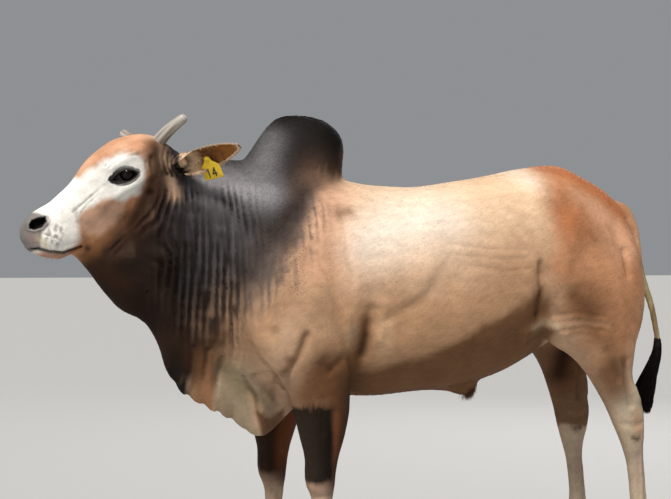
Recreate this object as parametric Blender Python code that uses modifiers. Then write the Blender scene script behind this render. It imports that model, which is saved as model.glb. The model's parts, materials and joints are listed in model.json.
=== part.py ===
"""A zebu bull standing still at life size, as a museum model.

The bull faces -X and its left side is towards -Y. Its feet stand on the plane z = 0. The flesh is lofted
from sections taken down the middle of a side view, melted into one skin, modelled with soft strokes, and then
parted into head, neck, hump, dewlap, torso and legs by thin cuts. Eyes, horns, ears, claws, tail and tag are
set on it.
"""

import math

import bmesh
import bpy
import numpy as np
from mathutils import Matrix, Vector

# Driving sizes, in metres and degrees; NEAR is the bull's left side and FAR its right
NEAR, FAR = -1, 1
GAP = 0.0003
TRIM_GAP = 0.0004
SIDES = 32
RING_STEP = 0.02
FLESH_VOXEL = 0.007
SMOOTH_ROUNDS = 14
BODY_TRIANGLES = 5200
HEAD_TRIANGLES = 12000
HEAD_POLL = (-0.585, 0.0, 1.414)
HEAD_PITCH = 33.4
HEAD_YAW = 5.0
EYE_AT = (0.178, 0.0885, -0.031)
EYE_RADIUS = 0.021
EYE_TILT = -0.0085
LID_LENGTH = 0.056
LID_ARCH = {"upper": 0.0130, "lower": 0.0100}
LID_THICK = 0.0042
NOSTRIL_PATH = ((0.452, 0.060, -0.002), (0.470, 0.062, -0.007), (0.490, 0.056, -0.012),
                (0.507, 0.046, -0.012))
NOSTRIL_RADII = (0.006, 0.0115, 0.011, 0.006)
MOUTH_PATH = ((0.545, 0.000, -0.062), (0.535, 0.030, -0.068), (0.514, 0.054, -0.085), (0.475, 0.066, -0.115),
              (0.440, 0.066, -0.135), (0.416, 0.060, -0.145))
MOUTH_RADII = (0.0045, 0.005, 0.005, 0.005, 0.0045, 0.002)
HORNS = {
    "left": ((-0.622, -0.040, 1.366), (-0.602, -0.083, 1.414), (-0.540, -0.106, 1.460)),
    "right": ((-0.628, 0.045, 1.380), (-0.670, 0.095, 1.408), (-0.690, 0.128, 1.425)),
}
HORN_BASE = 0.0255
HORN_TIP = 0.0150
EAR_ROOT = (0.020, 0.103, -0.086)
EAR_REACH = (0.157, -0.150, 0.040)
EAR_FACING = (-0.30, -0.70, -0.50)
EAR_WALL = 0.005
# The ear's round root: share of its reach, radius
EAR_BASE = ((-0.35, 0.031), (-0.05, 0.030), (0.06, 0.027), (0.13, 0.021))
# Along the ear: share of its length, radius of the cup, half angle of its wall
EAR_ROWS = (
    (0.00, 0.026, 150.0),
    (0.15, 0.029, 132.0),
    (0.30, 0.035, 98.0),
    (0.45, 0.040, 64.0),
    (0.62, 0.040, 56.0),
    (0.78, 0.034, 50.0),
    (0.90, 0.025, 41.0),
    (1.00, 0.011, 35.0),
)
TAG_SHARE = 0.47
TAG_ANGLE = 15.0
TAG_WIDTH = 0.034
TAG_HEIGHT = 0.066
TAG_THICK = 0.0022
TAG_LIFT = 0.0155
TAG_OUTLINE = ((0.30, -0.10), (0.36, 0.12), (0.95, 0.36), (1.0, 0.45), (1.0, 0.95), (0.93, 1.0))
STEM_RADIUS = 0.003
STEM_LENGTH = 0.0065
BUTTON_RADIUS = 0.013
BUTTON_THICK = 0.0035
HOOF_TOP = 0.060
CLAW_SPREAD = 0.0235
FORE_STEP = -0.088
HIND_STEP = -0.085
HOCK_DROP = 0.035
LEG_INSIDE = 0.0885
LEG_OUTSIDE = 0.40
DEWLAP_HALF = 0.087
SHEATH_HALF = 0.040
SCROTUM_HALF = 0.062
# Middle line of the tail with its radius, from inside the rump to the end of the hair
TAIL = (
    (0.880, 0.000, 1.205, 0.030),
    (0.945, -0.004, 1.190, 0.029),
    (0.985, -0.010, 1.120, 0.024),
    (1.003, -0.020, 1.000, 0.019),
    (1.042, -0.040, 0.860, 0.0150),
    (1.057, -0.052, 0.740, 0.0140),
    (1.036, -0.058, 0.650, 0.0150),
    (1.024, -0.060, 0.565, 0.0110),
    (1.020, -0.060, 0.515, 0.0040),
)
SWITCH_TOP = 4.9
SWITCH_END = 8.15
SWITCH_LOCKS = 18
LOCK_WIDTH = 0.0105
LOCK_FLAT = 0.42
LOCK_SPAN = 1.5
LOCK_FLARE = 0.016
# Blocks that part the flesh: convex outlines in X and Z, the head's along its own axis
HEAD_BLOCK = ((-0.060, 0.13), (0.62, 0.13), (0.62, -0.174), (-0.024, -0.174))
DEWLAP_BLOCK = ((-1.00, 1.121), (-1.00, 0.30), (-0.095, 0.30), (-0.095, 0.582))
NECK_BLOCK = ((-1.10, 1.60), (-1.10, 0.40), (-0.335, 0.40), (-0.385, 1.60))
HUMP_BLOCK = ((-0.42, 1.312), (-0.42, 1.60), (0.06, 1.60), (0.06, 1.266))
SHEATH_BLOCK = ((0.27, 0.618), (0.27, 0.50), (0.50, 0.50), (0.50, 0.640))
SCROTUM_BLOCK = ((0.79, 0.825), (0.79, 0.55), (0.95, 0.55), (0.95, 0.825))
FORE_BLOCKS = {
    "upper": ((-0.46, 0.725), (-0.46, 0.4153), (-0.005, 0.4153), (-0.005, 0.665)),
    "lower": ((-0.30, 0.4150), (-0.30, HOOF_TOP + GAP), (0.05, HOOF_TOP + GAP), (0.05, 0.4150)),
}
HIND_BLOCKS = {
    "upper": ((0.585, 0.590), (0.585, 0.68), (0.70, 0.80), (1.10, 0.84), (1.10, 0.590)),
    "lower": ((0.72, 0.5897), (0.72, HOOF_TOP + GAP), (1.10, HOOF_TOP + GAP), (1.10, 0.5897)),
}
BLOCK_SHARE = {"upper": 0.5, "lower": 1.0}
TAIL_BLOCKS = {
    "tail_switch": ((0.90, 0.70), (0.90, 0.30), (1.20, 0.30), (1.20, 0.70)),
    "tail_middle": ((0.90, 1.00), (0.90, 0.7003), (1.20, 0.7003), (1.20, 1.00)),
    "tail_dock": ((0.80, 1.40), (0.80, 1.0003), (1.20, 1.0003), (1.20, 1.40)),
}
# Plain colours: red, green, blue and roughness, by the first letters of a node's name
COLOURS = {
    "head": (0.52, 0.33, 0.22, 0.7),
    "neck": (0.055, 0.045, 0.045, 0.75),
    "hump": (0.065, 0.055, 0.055, 0.75),
    "dewlap": (0.16, 0.09, 0.06, 0.75),
    "torso": (0.66, 0.46, 0.31, 0.7),
    "sheath": (0.14, 0.07, 0.045, 0.75),
    "scrotum": (0.30, 0.17, 0.13, 0.7),
    "foreleg_left": (0.42, 0.27, 0.19, 0.7),
    "foreleg_right": (0.22, 0.13, 0.09, 0.7),
    "hindleg": (0.55, 0.38, 0.27, 0.7),
    "claw": (0.05, 0.045, 0.04, 0.45),
    "eye": (0.012, 0.008, 0.006, 0.08),
    "horn": (0.42, 0.40, 0.36, 0.5),
    "ear_tag": (0.85, 0.62, 0.01, 0.4),
    "ear": (0.58, 0.40, 0.26, 0.7),
    "tail_dock": (0.55, 0.30, 0.17, 0.7),
    "tail_middle": (0.55, 0.38, 0.25, 0.7),
    "tail_switch": (0.02, 0.018, 0.018, 0.6),
}

# Sections across the body: x, top, widest height, bottom, half width, powers of the upper and lower half
TRUNK = (
    (-0.47, 1.05, 0.90, 0.74, 0.080, 2.0, 2.0),
    (-0.42, 1.16, 0.90, 0.69, 0.140, 2.0, 2.0),
    (-0.33, 1.25, 0.90, 0.64, 0.190, 2.0, 1.9),
    (-0.20, 1.285, 0.90, 0.605, 0.215, 1.9, 1.8),
    (-0.05, 1.288, 0.91, 0.595, 0.228, 1.8, 1.8),
    (0.08, 1.268, 0.91, 0.590, 0.248, 1.9, 1.9),
    (0.20, 1.262, 0.92, 0.600, 0.266, 2.0, 2.0),
    (0.36, 1.282, 0.93, 0.615, 0.276, 2.1, 2.0),
    (0.50, 1.306, 0.96, 0.655, 0.264, 2.2, 2.0),
    (0.60, 1.328, 1.00, 0.705, 0.246, 2.3, 2.0),
    (0.69, 1.338, 1.04, 0.760, 0.232, 2.3, 2.0),
    (0.80, 1.298, 1.05, 0.805, 0.210, 2.1, 2.0),
    (0.89, 1.245, 1.04, 0.845, 0.168, 2.0, 2.0),
    (0.945, 1.175, 1.03, 0.880, 0.110, 2.0, 2.0),
    (0.965, 1.090, 1.02, 0.930, 0.050, 2.0, 2.0),
)
NECK = (
    (-0.70, 1.320, 1.15, 0.980, 0.080, 2.0, 2.0),
    (-0.65, 1.350, 1.14, 0.920, 0.108, 2.0, 2.0),
    (-0.57, 1.364, 1.12, 0.870, 0.130, 1.8, 2.0),
    (-0.47, 1.352, 1.08, 0.810, 0.150, 1.7, 2.0),
    (-0.37, 1.345, 1.05, 0.750, 0.172, 1.7, 2.0),
    (-0.27, 1.332, 1.01, 0.700, 0.192, 1.7, 2.0),
    (-0.16, 1.300, 0.96, 0.680, 0.200, 1.8, 2.0),
)
DEWLAP = (
    (-0.868, 1.085, 1.065, 1.045, 0.020, 2.0, 1.8),
    (-0.825, 1.125, 1.060, 0.998, 0.046, 2.2, 1.6),
    (-0.775, 1.165, 1.050, 0.930, 0.066, 2.2, 1.6),
    (-0.715, 1.200, 1.050, 0.866, 0.080, 2.2, 1.6),
    (-0.655, 1.210, 1.030, 0.836, 0.087, 2.2, 1.5),
    (-0.610, 1.150, 0.980, 0.775, 0.087, 2.0, 1.4),
    (-0.585, 1.010, 0.930, 0.690, 0.086, 2.0, 1.3),
    (-0.530, 0.980, 0.890, 0.605, 0.085, 2.0, 1.25),
    (-0.450, 0.950, 0.840, 0.555, 0.086, 2.0, 1.25),
    (-0.360, 0.900, 0.790, 0.507, 0.086, 2.0, 1.25),
    (-0.285, 0.850, 0.750, 0.462, 0.080, 2.0, 1.25),
    (-0.235, 0.800, 0.720, 0.478, 0.070, 2.0, 1.3),
    (-0.180, 0.750, 0.690, 0.540, 0.055, 2.0, 1.5),
    (-0.110, 0.710, 0.660, 0.600, 0.035, 2.0, 2.0),
)
SHEATH = (
    (0.20, 0.66, 0.63, 0.604, 0.020, 2.0, 2.0),
    (0.28, 0.66, 0.63, 0.602, 0.027, 2.0, 2.0),
    (0.34, 0.67, 0.63, 0.598, 0.032, 2.0, 2.0),
    (0.385, 0.67, 0.63, 0.584, 0.032, 2.0, 2.0),
    (0.415, 0.67, 0.63, 0.585, 0.028, 2.0, 2.0),
    (0.445, 0.67, 0.64, 0.610, 0.018, 2.0, 2.0),
)
# Sections square to the head's own axis, from the poll forwards
HEAD = (
    (-0.030, -0.038, -0.070, -0.105, 0.050, 2.0, 2.0),
    (0.000, 0.000, -0.050, -0.135, 0.080, 2.6, 2.0),
    (0.057, 0.045, -0.035, -0.152, 0.096, 2.5, 1.9),
    (0.100, 0.064, -0.022, -0.160, 0.104, 2.4, 1.8),
    (0.150, 0.077, -0.018, -0.165, 0.107, 2.3, 1.7),
    (0.200, 0.075, -0.025, -0.168, 0.100, 2.2, 1.7),
    (0.245, 0.068, -0.040, -0.168, 0.087, 2.1, 1.8),
    (0.280, 0.056, -0.050, -0.168, 0.078, 2.1, 1.9),
    (0.310, 0.042, -0.055, -0.167, 0.072, 2.2, 2.0),
    (0.345, 0.032, -0.058, -0.165, 0.066, 2.2, 2.0),
    (0.385, 0.026, -0.062, -0.161, 0.061, 2.3, 2.1),
    (0.415, 0.021, -0.062, -0.156, 0.060, 2.3, 2.2),
    (0.450, 0.024, -0.055, -0.150, 0.063, 2.3, 2.3),
    (0.480, 0.024, -0.050, -0.142, 0.064, 2.4, 2.4),
    (0.503, 0.020, -0.048, -0.128, 0.060, 2.4, 2.4),
    (0.523, 0.012, -0.047, -0.108, 0.052, 2.4, 2.4),
    (0.540, -0.004, -0.045, -0.085, 0.038, 2.2, 2.2),
    (0.549, -0.022, -0.045, -0.066, 0.020, 2.0, 2.0),
)
# Level sections: height, x, side, half length, half width
HUMP = (
    (1.16, -0.225, 0.0, 0.235, 0.120),
    (1.24, -0.210, 0.0, 0.205, 0.112),
    (1.30, -0.190, 0.0, 0.180, 0.104),
    (1.35, -0.166, 0.0, 0.160, 0.098),
    (1.395, -0.150, 0.0, 0.145, 0.090),
    (1.430, -0.145, 0.0, 0.126, 0.078),
    (1.458, -0.147, 0.0, 0.100, 0.062),
    (1.478, -0.155, 0.0, 0.066, 0.040),
    (1.486, -0.160, 0.0, 0.030, 0.018),
)
FORE_LEG = (
    (1.20, -0.130, 0.095, 0.080, 0.055),
    (1.08, -0.165, 0.135, 0.120, 0.075),
    (0.95, -0.195, 0.158, 0.145, 0.084),
    (0.84, -0.200, 0.163, 0.152, 0.084),
    (0.75, -0.175, 0.160, 0.142, 0.077),
    (0.68, -0.142, 0.158, 0.118, 0.069),
    (0.61, -0.122, 0.157, 0.100, 0.062),
    (0.54, -0.113, 0.156, 0.087, 0.055),
    (0.47, -0.112, 0.156, 0.071, 0.047),
    (0.41, -0.114, 0.156, 0.055, 0.041),
    (0.365, -0.118, 0.156, 0.051, 0.043),
    (0.325, -0.116, 0.156, 0.045, 0.041),
    (0.28, -0.112, 0.156, 0.034, 0.032),
    (0.21, -0.114, 0.156, 0.030, 0.029),
    (0.170, -0.117, 0.156, 0.035, 0.033),
    (0.142, -0.124, 0.156, 0.043, 0.039),
    (0.112, -0.137, 0.156, 0.037, 0.036),
    (0.085, -0.150, 0.156, 0.041, 0.040),
    (0.060, -0.162, 0.156, 0.047, 0.045),
    (0.045, -0.166, 0.156, 0.047, 0.045),
)
HIND_LEG = (
    (1.24, 0.720, 0.080, 0.120, 0.055),
    (1.14, 0.745, 0.108, 0.165, 0.083),
    (1.02, 0.765, 0.128, 0.190, 0.106),
    (0.92, 0.770, 0.142, 0.195, 0.108),
    (0.84, 0.770, 0.153, 0.185, 0.096),
    (0.77, 0.782, 0.162, 0.150, 0.080),
    (0.71, 0.818, 0.162, 0.104, 0.065),
    (0.65, 0.842, 0.161, 0.076, 0.053),
    (0.595, 0.868, 0.160, 0.068, 0.043),
    (0.545, 0.892, 0.160, 0.065, 0.037),
    (0.505, 0.903, 0.160, 0.057, 0.040),
    (0.465, 0.912, 0.160, 0.047, 0.041),
    (0.42, 0.920, 0.160, 0.037, 0.036),
    (0.36, 0.930, 0.160, 0.031, 0.029),
    (0.25, 0.940, 0.160, 0.030, 0.028),
    (0.180, 0.943, 0.160, 0.036, 0.033),
    (0.146, 0.937, 0.160, 0.043, 0.039),
    (0.112, 0.923, 0.160, 0.037, 0.036),
    (0.085, 0.910, 0.160, 0.041, 0.040),
    (0.060, 0.898, 0.160, 0.047, 0.045),
    (0.045, 0.894, 0.160, 0.047, 0.045),
)
SCROTUM = (
    (0.92, 0.845, 0.0, 0.046, 0.048),
    (0.84, 0.855, 0.0, 0.034, 0.038),
    (0.78, 0.863, 0.0, 0.037, 0.042),
    (0.725, 0.867, 0.0, 0.042, 0.049),
    (0.685, 0.870, 0.0, 0.040, 0.047),
    (0.663, 0.871, 0.0, 0.027, 0.033),
    (0.657, 0.871, 0.0, 0.011, 0.013),
)


def smooth_rows(rows, step=RING_STEP):
    """Rows read off a smooth curve through the given ones, about a step apart and never overshooting."""
    rows = np.array(rows, float)
    keys = rows[:, 0]
    span = np.diff(keys)[:, None]
    slope = np.diff(rows, axis=0) / span
    product = slope[:-1] * slope[1:]
    total = slope[:-1] + slope[1:]
    middle = np.where(product > 0, 2 * product / np.where(product > 0, total, 1.0), 0.0)
    tangent = np.vstack([slope[:1], middle, slope[-1:]])
    found = [rows[:1]]
    for k in range(len(rows) - 1):
        count = max(1, round(abs(span[k, 0]) / step))
        t = (np.arange(count) + 1)[:, None] / count
        found.append(
            (2 * t**3 - 3 * t**2 + 1) * rows[k]
            + (t**3 - 2 * t**2 + t) * span[k] * tangent[k]
            + (3 * t**2 - 2 * t**3) * rows[k + 1]
            + (t**3 - t**2) * span[k] * tangent[k + 1]
        )
    return np.vstack(found)


def rounded(angles, power):
    """Cosine and sine of a superellipse: power 2 is an ellipse, more is boxier and less is sharper."""
    c, s = np.cos(angles), np.sin(angles)
    return np.sign(c) * np.abs(c) ** (2 / power), np.sign(s) * np.abs(s) ** (2 / power)


def mesh_object(name, points, faces):
    """A mesh object with its normals made to point out."""
    mesh = bpy.data.meshes.new(name)
    mesh.from_pydata([tuple(p) for p in points], [], faces)
    bm = bmesh.new()
    bm.from_mesh(mesh)
    bmesh.ops.recalc_face_normals(bm, faces=bm.faces)
    bm.to_mesh(mesh)
    bm.free()
    obj = bpy.data.objects.new(name, mesh)
    bpy.context.scene.collection.objects.link(obj)
    return obj


def loft(name, rings):
    """A closed skin through rings of equal count, with a flat cap on each end ring."""
    rings = np.asarray(rings, float)
    count, sides, _ = rings.shape
    faces = [
        (k * sides + j, k * sides + (j + 1) % sides, (k + 1) * sides + (j + 1) % sides, (k + 1) * sides + j)
        for k in range(count - 1)
        for j in range(sides)
    ]
    faces.append(tuple(range(sides)))
    faces.append(tuple(range((count - 1) * sides, count * sides)))
    return mesh_object(name, rings.reshape(-1, 3), faces)


def upright_rings(rows, sides=SIDES):
    """Rings square to the first coordinate: along, top, widest height, bottom, half width and two powers."""
    angles = (np.arange(sides) + 0.5) * 2 * math.pi / sides
    rings = []
    for along, top, middle, bottom, half, upper, lower in smooth_rows(rows):
        across, up = rounded(angles, upper)
        across_low, down = rounded(angles, lower)
        above = np.sin(angles) > 0
        side = half * np.where(above, across, across_low)
        height = middle + np.where(above, up * (top - middle), down * (middle - bottom))
        rings.append(np.stack([np.full(sides, along), side, height], axis=1))
    return np.array(rings)


def level_rings(rows, power=2.2, sides=SIDES):
    """Rings square to Z: height, x, side, half length and half width."""
    angles = (np.arange(sides) + 0.5) * 2 * math.pi / sides
    c, s = rounded(angles, power)
    return np.array(
        [
            np.stack([x + length * c, side + width * s, np.full(sides, z)], axis=1)
            for z, x, side, length, width in smooth_rows(rows)
        ]
    )


def head_frame():
    """Columns: forwards, sideways and upwards of the head, in the bull's frame."""
    pitch, yaw = math.radians(HEAD_PITCH), math.radians(HEAD_YAW)
    forward = np.array([-math.cos(pitch), 0.0, -math.sin(pitch)])
    upward = np.array([-math.sin(pitch), 0.0, math.cos(pitch)])
    turn = np.array(Matrix.Rotation(yaw, 3, "Z"))
    return turn @ np.stack([forward, (0.0, 1.0, 0.0), upward], axis=1)


def on_head(points):
    """Points given forwards, sideways and upwards of the poll, in the bull's frame."""
    return np.asarray(points, float) @ head_frame().T + np.array(HEAD_POLL)


def leg_rows(rows, side):
    """A leg's rows on one side; the far legs step forwards and the far hock stands a little lower."""
    step, hock, top = (FORE_STEP, 0.40, 0.95) if rows is FORE_LEG else (HIND_STEP, 0.52, 0.85)
    drop = HOCK_DROP if rows is HIND_LEG else 0.0
    moved = []
    for z, x, y, length, width in rows:
        free = min(1.0, max(0.0, (top - z) / 0.50)) if side == FAR else 0.0
        low = max(0.0, 1.0 - ((z - hock) / 0.20) ** 2) if side == FAR else 0.0
        moved.append((z - drop * low, x + step * free * free * (3 - 2 * free), side * y, length, width))
    return moved


def melt(objects, voxel, rounds):
    """One closed skin round all the given bodies, softened where they meet."""
    for obj in objects:
        obj.select_set(True)
    bpy.context.view_layer.objects.active = objects[0]
    bpy.ops.object.join()
    whole = bpy.context.view_layer.objects.active
    remesh = whole.modifiers.new("Melt", "REMESH")
    remesh.mode = "VOXEL"
    remesh.voxel_size = voxel
    soften = whole.modifiers.new("Soften", "SMOOTH")
    soften.factor = 0.5
    soften.iterations = rounds
    return applied(whole)


def applied(obj):
    """The object with its modifiers worked into its mesh."""
    graph = bpy.context.evaluated_depsgraph_get()
    mesh = bpy.data.meshes.new_from_object(obj.evaluated_get(graph))
    obj.modifiers.clear()
    obj.data = mesh
    return obj


def thinned(obj, triangles):
    """A copy of the object brought down to about this many triangles."""
    copy = bpy.data.objects.new(obj.name + "_thin", obj.data.copy())
    bpy.context.scene.collection.objects.link(copy)
    bm = bmesh.new()
    bm.from_mesh(copy.data)
    bmesh.ops.triangulate(bm, faces=bm.faces)
    bm.to_mesh(copy.data)
    bm.free()
    fewer = copy.modifiers.new("Fewer", "DECIMATE")
    fewer.ratio = triangles / len(copy.data.polygons)
    return applied(copy)


def to_strokes(points, strokes):
    """How far out each point moves under soft strokes.

    A stroke is a path, a radius and a height: the push falls off as a bell with the distance from the path.
    """
    push = np.zeros(len(points))
    for path, radius, height in strokes:
        path = np.asarray(path, float)
        near = np.full(len(points), np.inf)
        for a, b in zip(path[:-1], path[1:]):
            run = b - a
            t = np.clip(((points - a) @ run) / (run @ run), 0, 1)
            near = np.minimum(near, np.linalg.norm(points - a - t[:, None] * run, axis=1))
        push += height * np.exp(-((near / radius) ** 2))
    return push


def body_strokes():
    """Bones, muscles and hollows of the left side, as paths in x, y and z, with a radius and a height."""
    return [
        ([(0.605, -0.20, 1.235), (0.640, -0.195, 1.225)], 0.045, 0.018),
        ([(0.935, -0.115, 1.09), (0.950, -0.115, 1.05)], 0.040, 0.012),
        ([(0.46, -0.22, 1.13), (0.53, -0.21, 1.09)], 0.065, -0.012),
        ([(0.575, -0.235, 0.98), (0.590, -0.215, 0.83)], 0.022, -0.014),
        ([(0.33, -0.27, 1.02), (0.20, -0.26, 0.90), (0.10, -0.25, 0.80)], 0.035, -0.006),
        ([(-0.13, -0.24, 0.92), (-0.10, -0.235, 0.82)], 0.085, 0.016),
        ([(0.005, -0.24, 0.96), (0.010, -0.23, 0.80), (-0.005, -0.20, 0.67)], 0.022, -0.014),
        ([(-0.335, -0.19, 0.86), (-0.325, -0.19, 0.80)], 0.055, 0.014),
        ([(-0.16, -0.15, 1.19), (-0.30, -0.18, 1.00), (-0.37, -0.18, 0.90)], 0.030, -0.008),
        ([(-0.17, -0.20, 1.10), (-0.22, -0.23, 0.96)], 0.020, 0.006),
        ([(0.86, -0.20, 1.12), (0.885, -0.22, 0.90), (0.88, -0.20, 0.78)], 0.024, -0.009),
        ([(0.70, -0.20, 1.18), (0.66, -0.235, 1.02), (0.64, -0.23, 0.90)], 0.040, 0.008),
        ([(0.625, -0.20, 0.80), (0.650, -0.20, 0.77)], 0.045, 0.014),
        ([(0.10, -0.075, 1.26), (0.35, -0.085, 1.28), (0.58, -0.085, 1.31)], 0.040, 0.008),
    ]


def head_strokes():
    """The same for the left side of the head, forwards, sideways and upwards of the poll."""
    return [
        ([(0.095, -0.092, 0.012), (0.150, -0.104, 0.010), (0.195, -0.086, 0.012)], 0.018, 0.008),
        ([(0.120, -0.100, -0.072), (0.215, -0.090, -0.068), (0.290, -0.072, -0.070)], 0.016, 0.006),
        ([(0.110, -0.085, -0.115), (0.165, -0.080, -0.120)], 0.042, 0.008),
        ([(0.300, -0.062, -0.110), (0.345, -0.055, -0.115)], 0.030, -0.006),
        ([(0.045, -0.092, -0.030), (0.075, -0.098, -0.045)], 0.020, -0.006),
        ([(0.240, -0.070, 0.000), (0.330, -0.052, -0.022)], 0.022, -0.004),
        ([(0.470, -0.050, 0.000), (0.505, -0.046, -0.010)], 0.016, 0.005),
        ([(0.465, -0.058, -0.080), (0.505, -0.050, -0.062)], 0.024, 0.005),
        ([(0.440, -0.040, -0.150), (0.480, -0.020, -0.142)], 0.016, 0.004),
    ]


def mirrored(strokes):
    """Strokes of the left side and their mirror images on the right."""
    return strokes + [(np.asarray(path) * (1, -1, 1), radius, height) for path, radius, height in strokes]


def neck_folds(points):
    """Ridges of loose skin that run down the sides of the neck behind the jaw."""
    x, y, z = points.T
    along = x + 0.10 * (z - 1.10) + 0.05 * (z - 1.10) ** 2
    wave = np.cos(2 * math.pi * along / 0.046)
    ahead = np.clip((x + 0.64) / 0.06, 0, 1) * np.clip((-0.27 - x) / 0.10, 0, 1)
    high = np.clip((1.28 - z) / 0.08, 0, 1) * np.clip((z - 0.74) / 0.10, 0, 1)
    return 0.0035 * wave * ahead * high * np.clip((np.abs(y) - 0.03) / 0.05, 0, 1)


def dewlap_sway(points):
    """Sideways shift of the hanging skin under the throat and brisket, so that its edge waves."""
    x, y, z = points.T
    low = np.clip((0.80 - z) / 0.30, 0, 1)
    ahead = np.clip((-0.14 - x) / 0.10, 0, 1)
    free = low * ahead * np.clip((0.10 - np.abs(y)) / 0.05, 0, 1)
    return 0.016 * free * np.sin(2 * math.pi * (x + 0.25 * z) / 0.13)


def normals_of(obj):
    normals = np.empty(len(obj.data.vertices) * 3, np.float32)
    obj.data.vertices.foreach_get("normal", normals)
    return normals.reshape(-1, 3).astype(float)


def points_of(obj):
    points = np.empty(len(obj.data.vertices) * 3, np.float32)
    obj.data.vertices.foreach_get("co", points)
    return points.reshape(-1, 3).astype(float)


def make_flesh():
    """The whole animal's flesh as one fine skin: trunk, neck, dewlap, hump, head and legs."""
    pieces = [loft("flesh", upright_rings(TRUNK))]
    pieces += [loft("flesh", upright_rings(rows)) for rows in (NECK, DEWLAP, SHEATH)]
    pieces += [loft("flesh", level_rings(rows, 2.0)) for rows in (HUMP, SCROTUM)]
    pieces += [ear_base(side) for side in (NEAR, FAR)]
    head = upright_rings(HEAD)
    pieces.append(loft("flesh", on_head(head.reshape(-1, 3)).reshape(head.shape)))
    for side in (NEAR, FAR):
        pieces.append(loft("flesh", level_rings(leg_rows(FORE_LEG, side))))
        pieces.append(loft("flesh", level_rings(leg_rows(HIND_LEG, side))))
    flesh = melt(pieces, FLESH_VOXEL, SMOOTH_ROUNDS)
    points = points_of(flesh)
    push = to_strokes(points, mirrored(body_strokes()))
    head_local = (points - np.array(HEAD_POLL)) @ head_frame()
    push += to_strokes(head_local, mirrored(head_strokes()))
    push += neck_folds(points)
    points += push[:, None] * normals_of(flesh)
    points[:, 1] += dewlap_sway(points)
    flesh.data.vertices.foreach_set("co", points.astype(np.float32).ravel())
    flesh.data.update()
    return flesh


def combine(obj, other, operation, solver="EXACT"):
    """A Boolean of two objects, worked into the first one's mesh."""
    step = obj.modifiers.new("Combine", "BOOLEAN")
    step.operation = operation
    step.object = other
    step.solver = solver
    return applied(obj)


def largest_piece(obj):
    """The object with only its largest closed surface kept."""
    bm = bmesh.new()
    bm.from_mesh(obj.data)
    left = set(bm.verts)
    islands = []
    while left:
        reached = {left.pop()}
        edge = list(reached)
        while edge:
            vert = edge.pop()
            for link in vert.link_edges:
                other = link.other_vert(vert)
                if other in left:
                    left.remove(other)
                    reached.add(other)
                    edge.append(other)
        islands.append(reached)
    biggest = max(islands, key=len)
    bmesh.ops.delete(bm, geom=[v for v in bm.verts if v not in biggest], context="VERTS")
    bm.to_mesh(obj.data)
    bm.free()
    return obj


def prism(name, outline, low, high, grow=0.0, place=None):
    """A block: a convex outline in X and Z, drawn out from one Y to the other and grown on every side."""
    corners = np.array(outline, float)
    ahead = np.roll(corners, -1, axis=0) - corners
    ahead /= np.linalg.norm(ahead, axis=1)[:, None]
    turn = np.sign(ahead[0, 0] * ahead[1, 1] - ahead[0, 1] * ahead[1, 0])
    outward = np.stack([ahead[:, 1], -ahead[:, 0]], axis=1) * turn
    before = np.roll(outward, 1, axis=0)
    mitre = (outward + before) / (1 + np.sum(outward * before, axis=1))[:, None]
    corners = corners + mitre * grow
    rings = np.array([[(x, y, z) for x, z in corners] for y in (low - grow, high + grow)])
    if place:
        rings = place(rings.reshape(-1, 3)).reshape(rings.shape)
    return loft(name, rings)


def grown(obj, amount):
    """A copy of the object with its skin moved out, to trim what grows from it with a small gap."""
    copy = bpy.data.objects.new(obj.name + "_grown", obj.data.copy())
    bpy.context.scene.collection.objects.link(copy)
    points = points_of(copy) + amount * normals_of(copy)
    copy.data.vertices.foreach_set("co", points.astype(np.float32).ravel())
    copy.data.update()
    return copy


def part_off(source, name, outline, low, high, place=None):
    """The piece of the source inside a block, as a node of its own, and the source without it."""
    node = bpy.data.objects.new(name, source.data.copy())
    bpy.context.scene.collection.objects.link(node)
    inner = prism("block", outline, low, high, 0.0, place)
    combine(node, inner, "INTERSECT")
    bpy.data.objects.remove(inner)
    outer = prism("block", outline, low, high, GAP, place)
    combine(source, outer, "DIFFERENCE")
    bpy.data.objects.remove(outer)
    return largest_piece(node)


def trim(obj, carrier, amount=TRIM_GAP):
    """The object cut back to just clear of what carries it."""
    cutter = grown(carrier, amount)
    combine(obj, cutter, "DIFFERENCE")
    bpy.data.objects.remove(cutter)
    return largest_piece(obj)


def leg_blocks(side, step, outline):
    """A leg's block outline moved along X, and its reach to one side as low and high Y."""
    near, far = LEG_INSIDE, LEG_OUTSIDE
    low, high = (-far, -near) if side == NEAR else (near, far)
    return [(x + step, z) for x, z in outline], low, high


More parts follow.
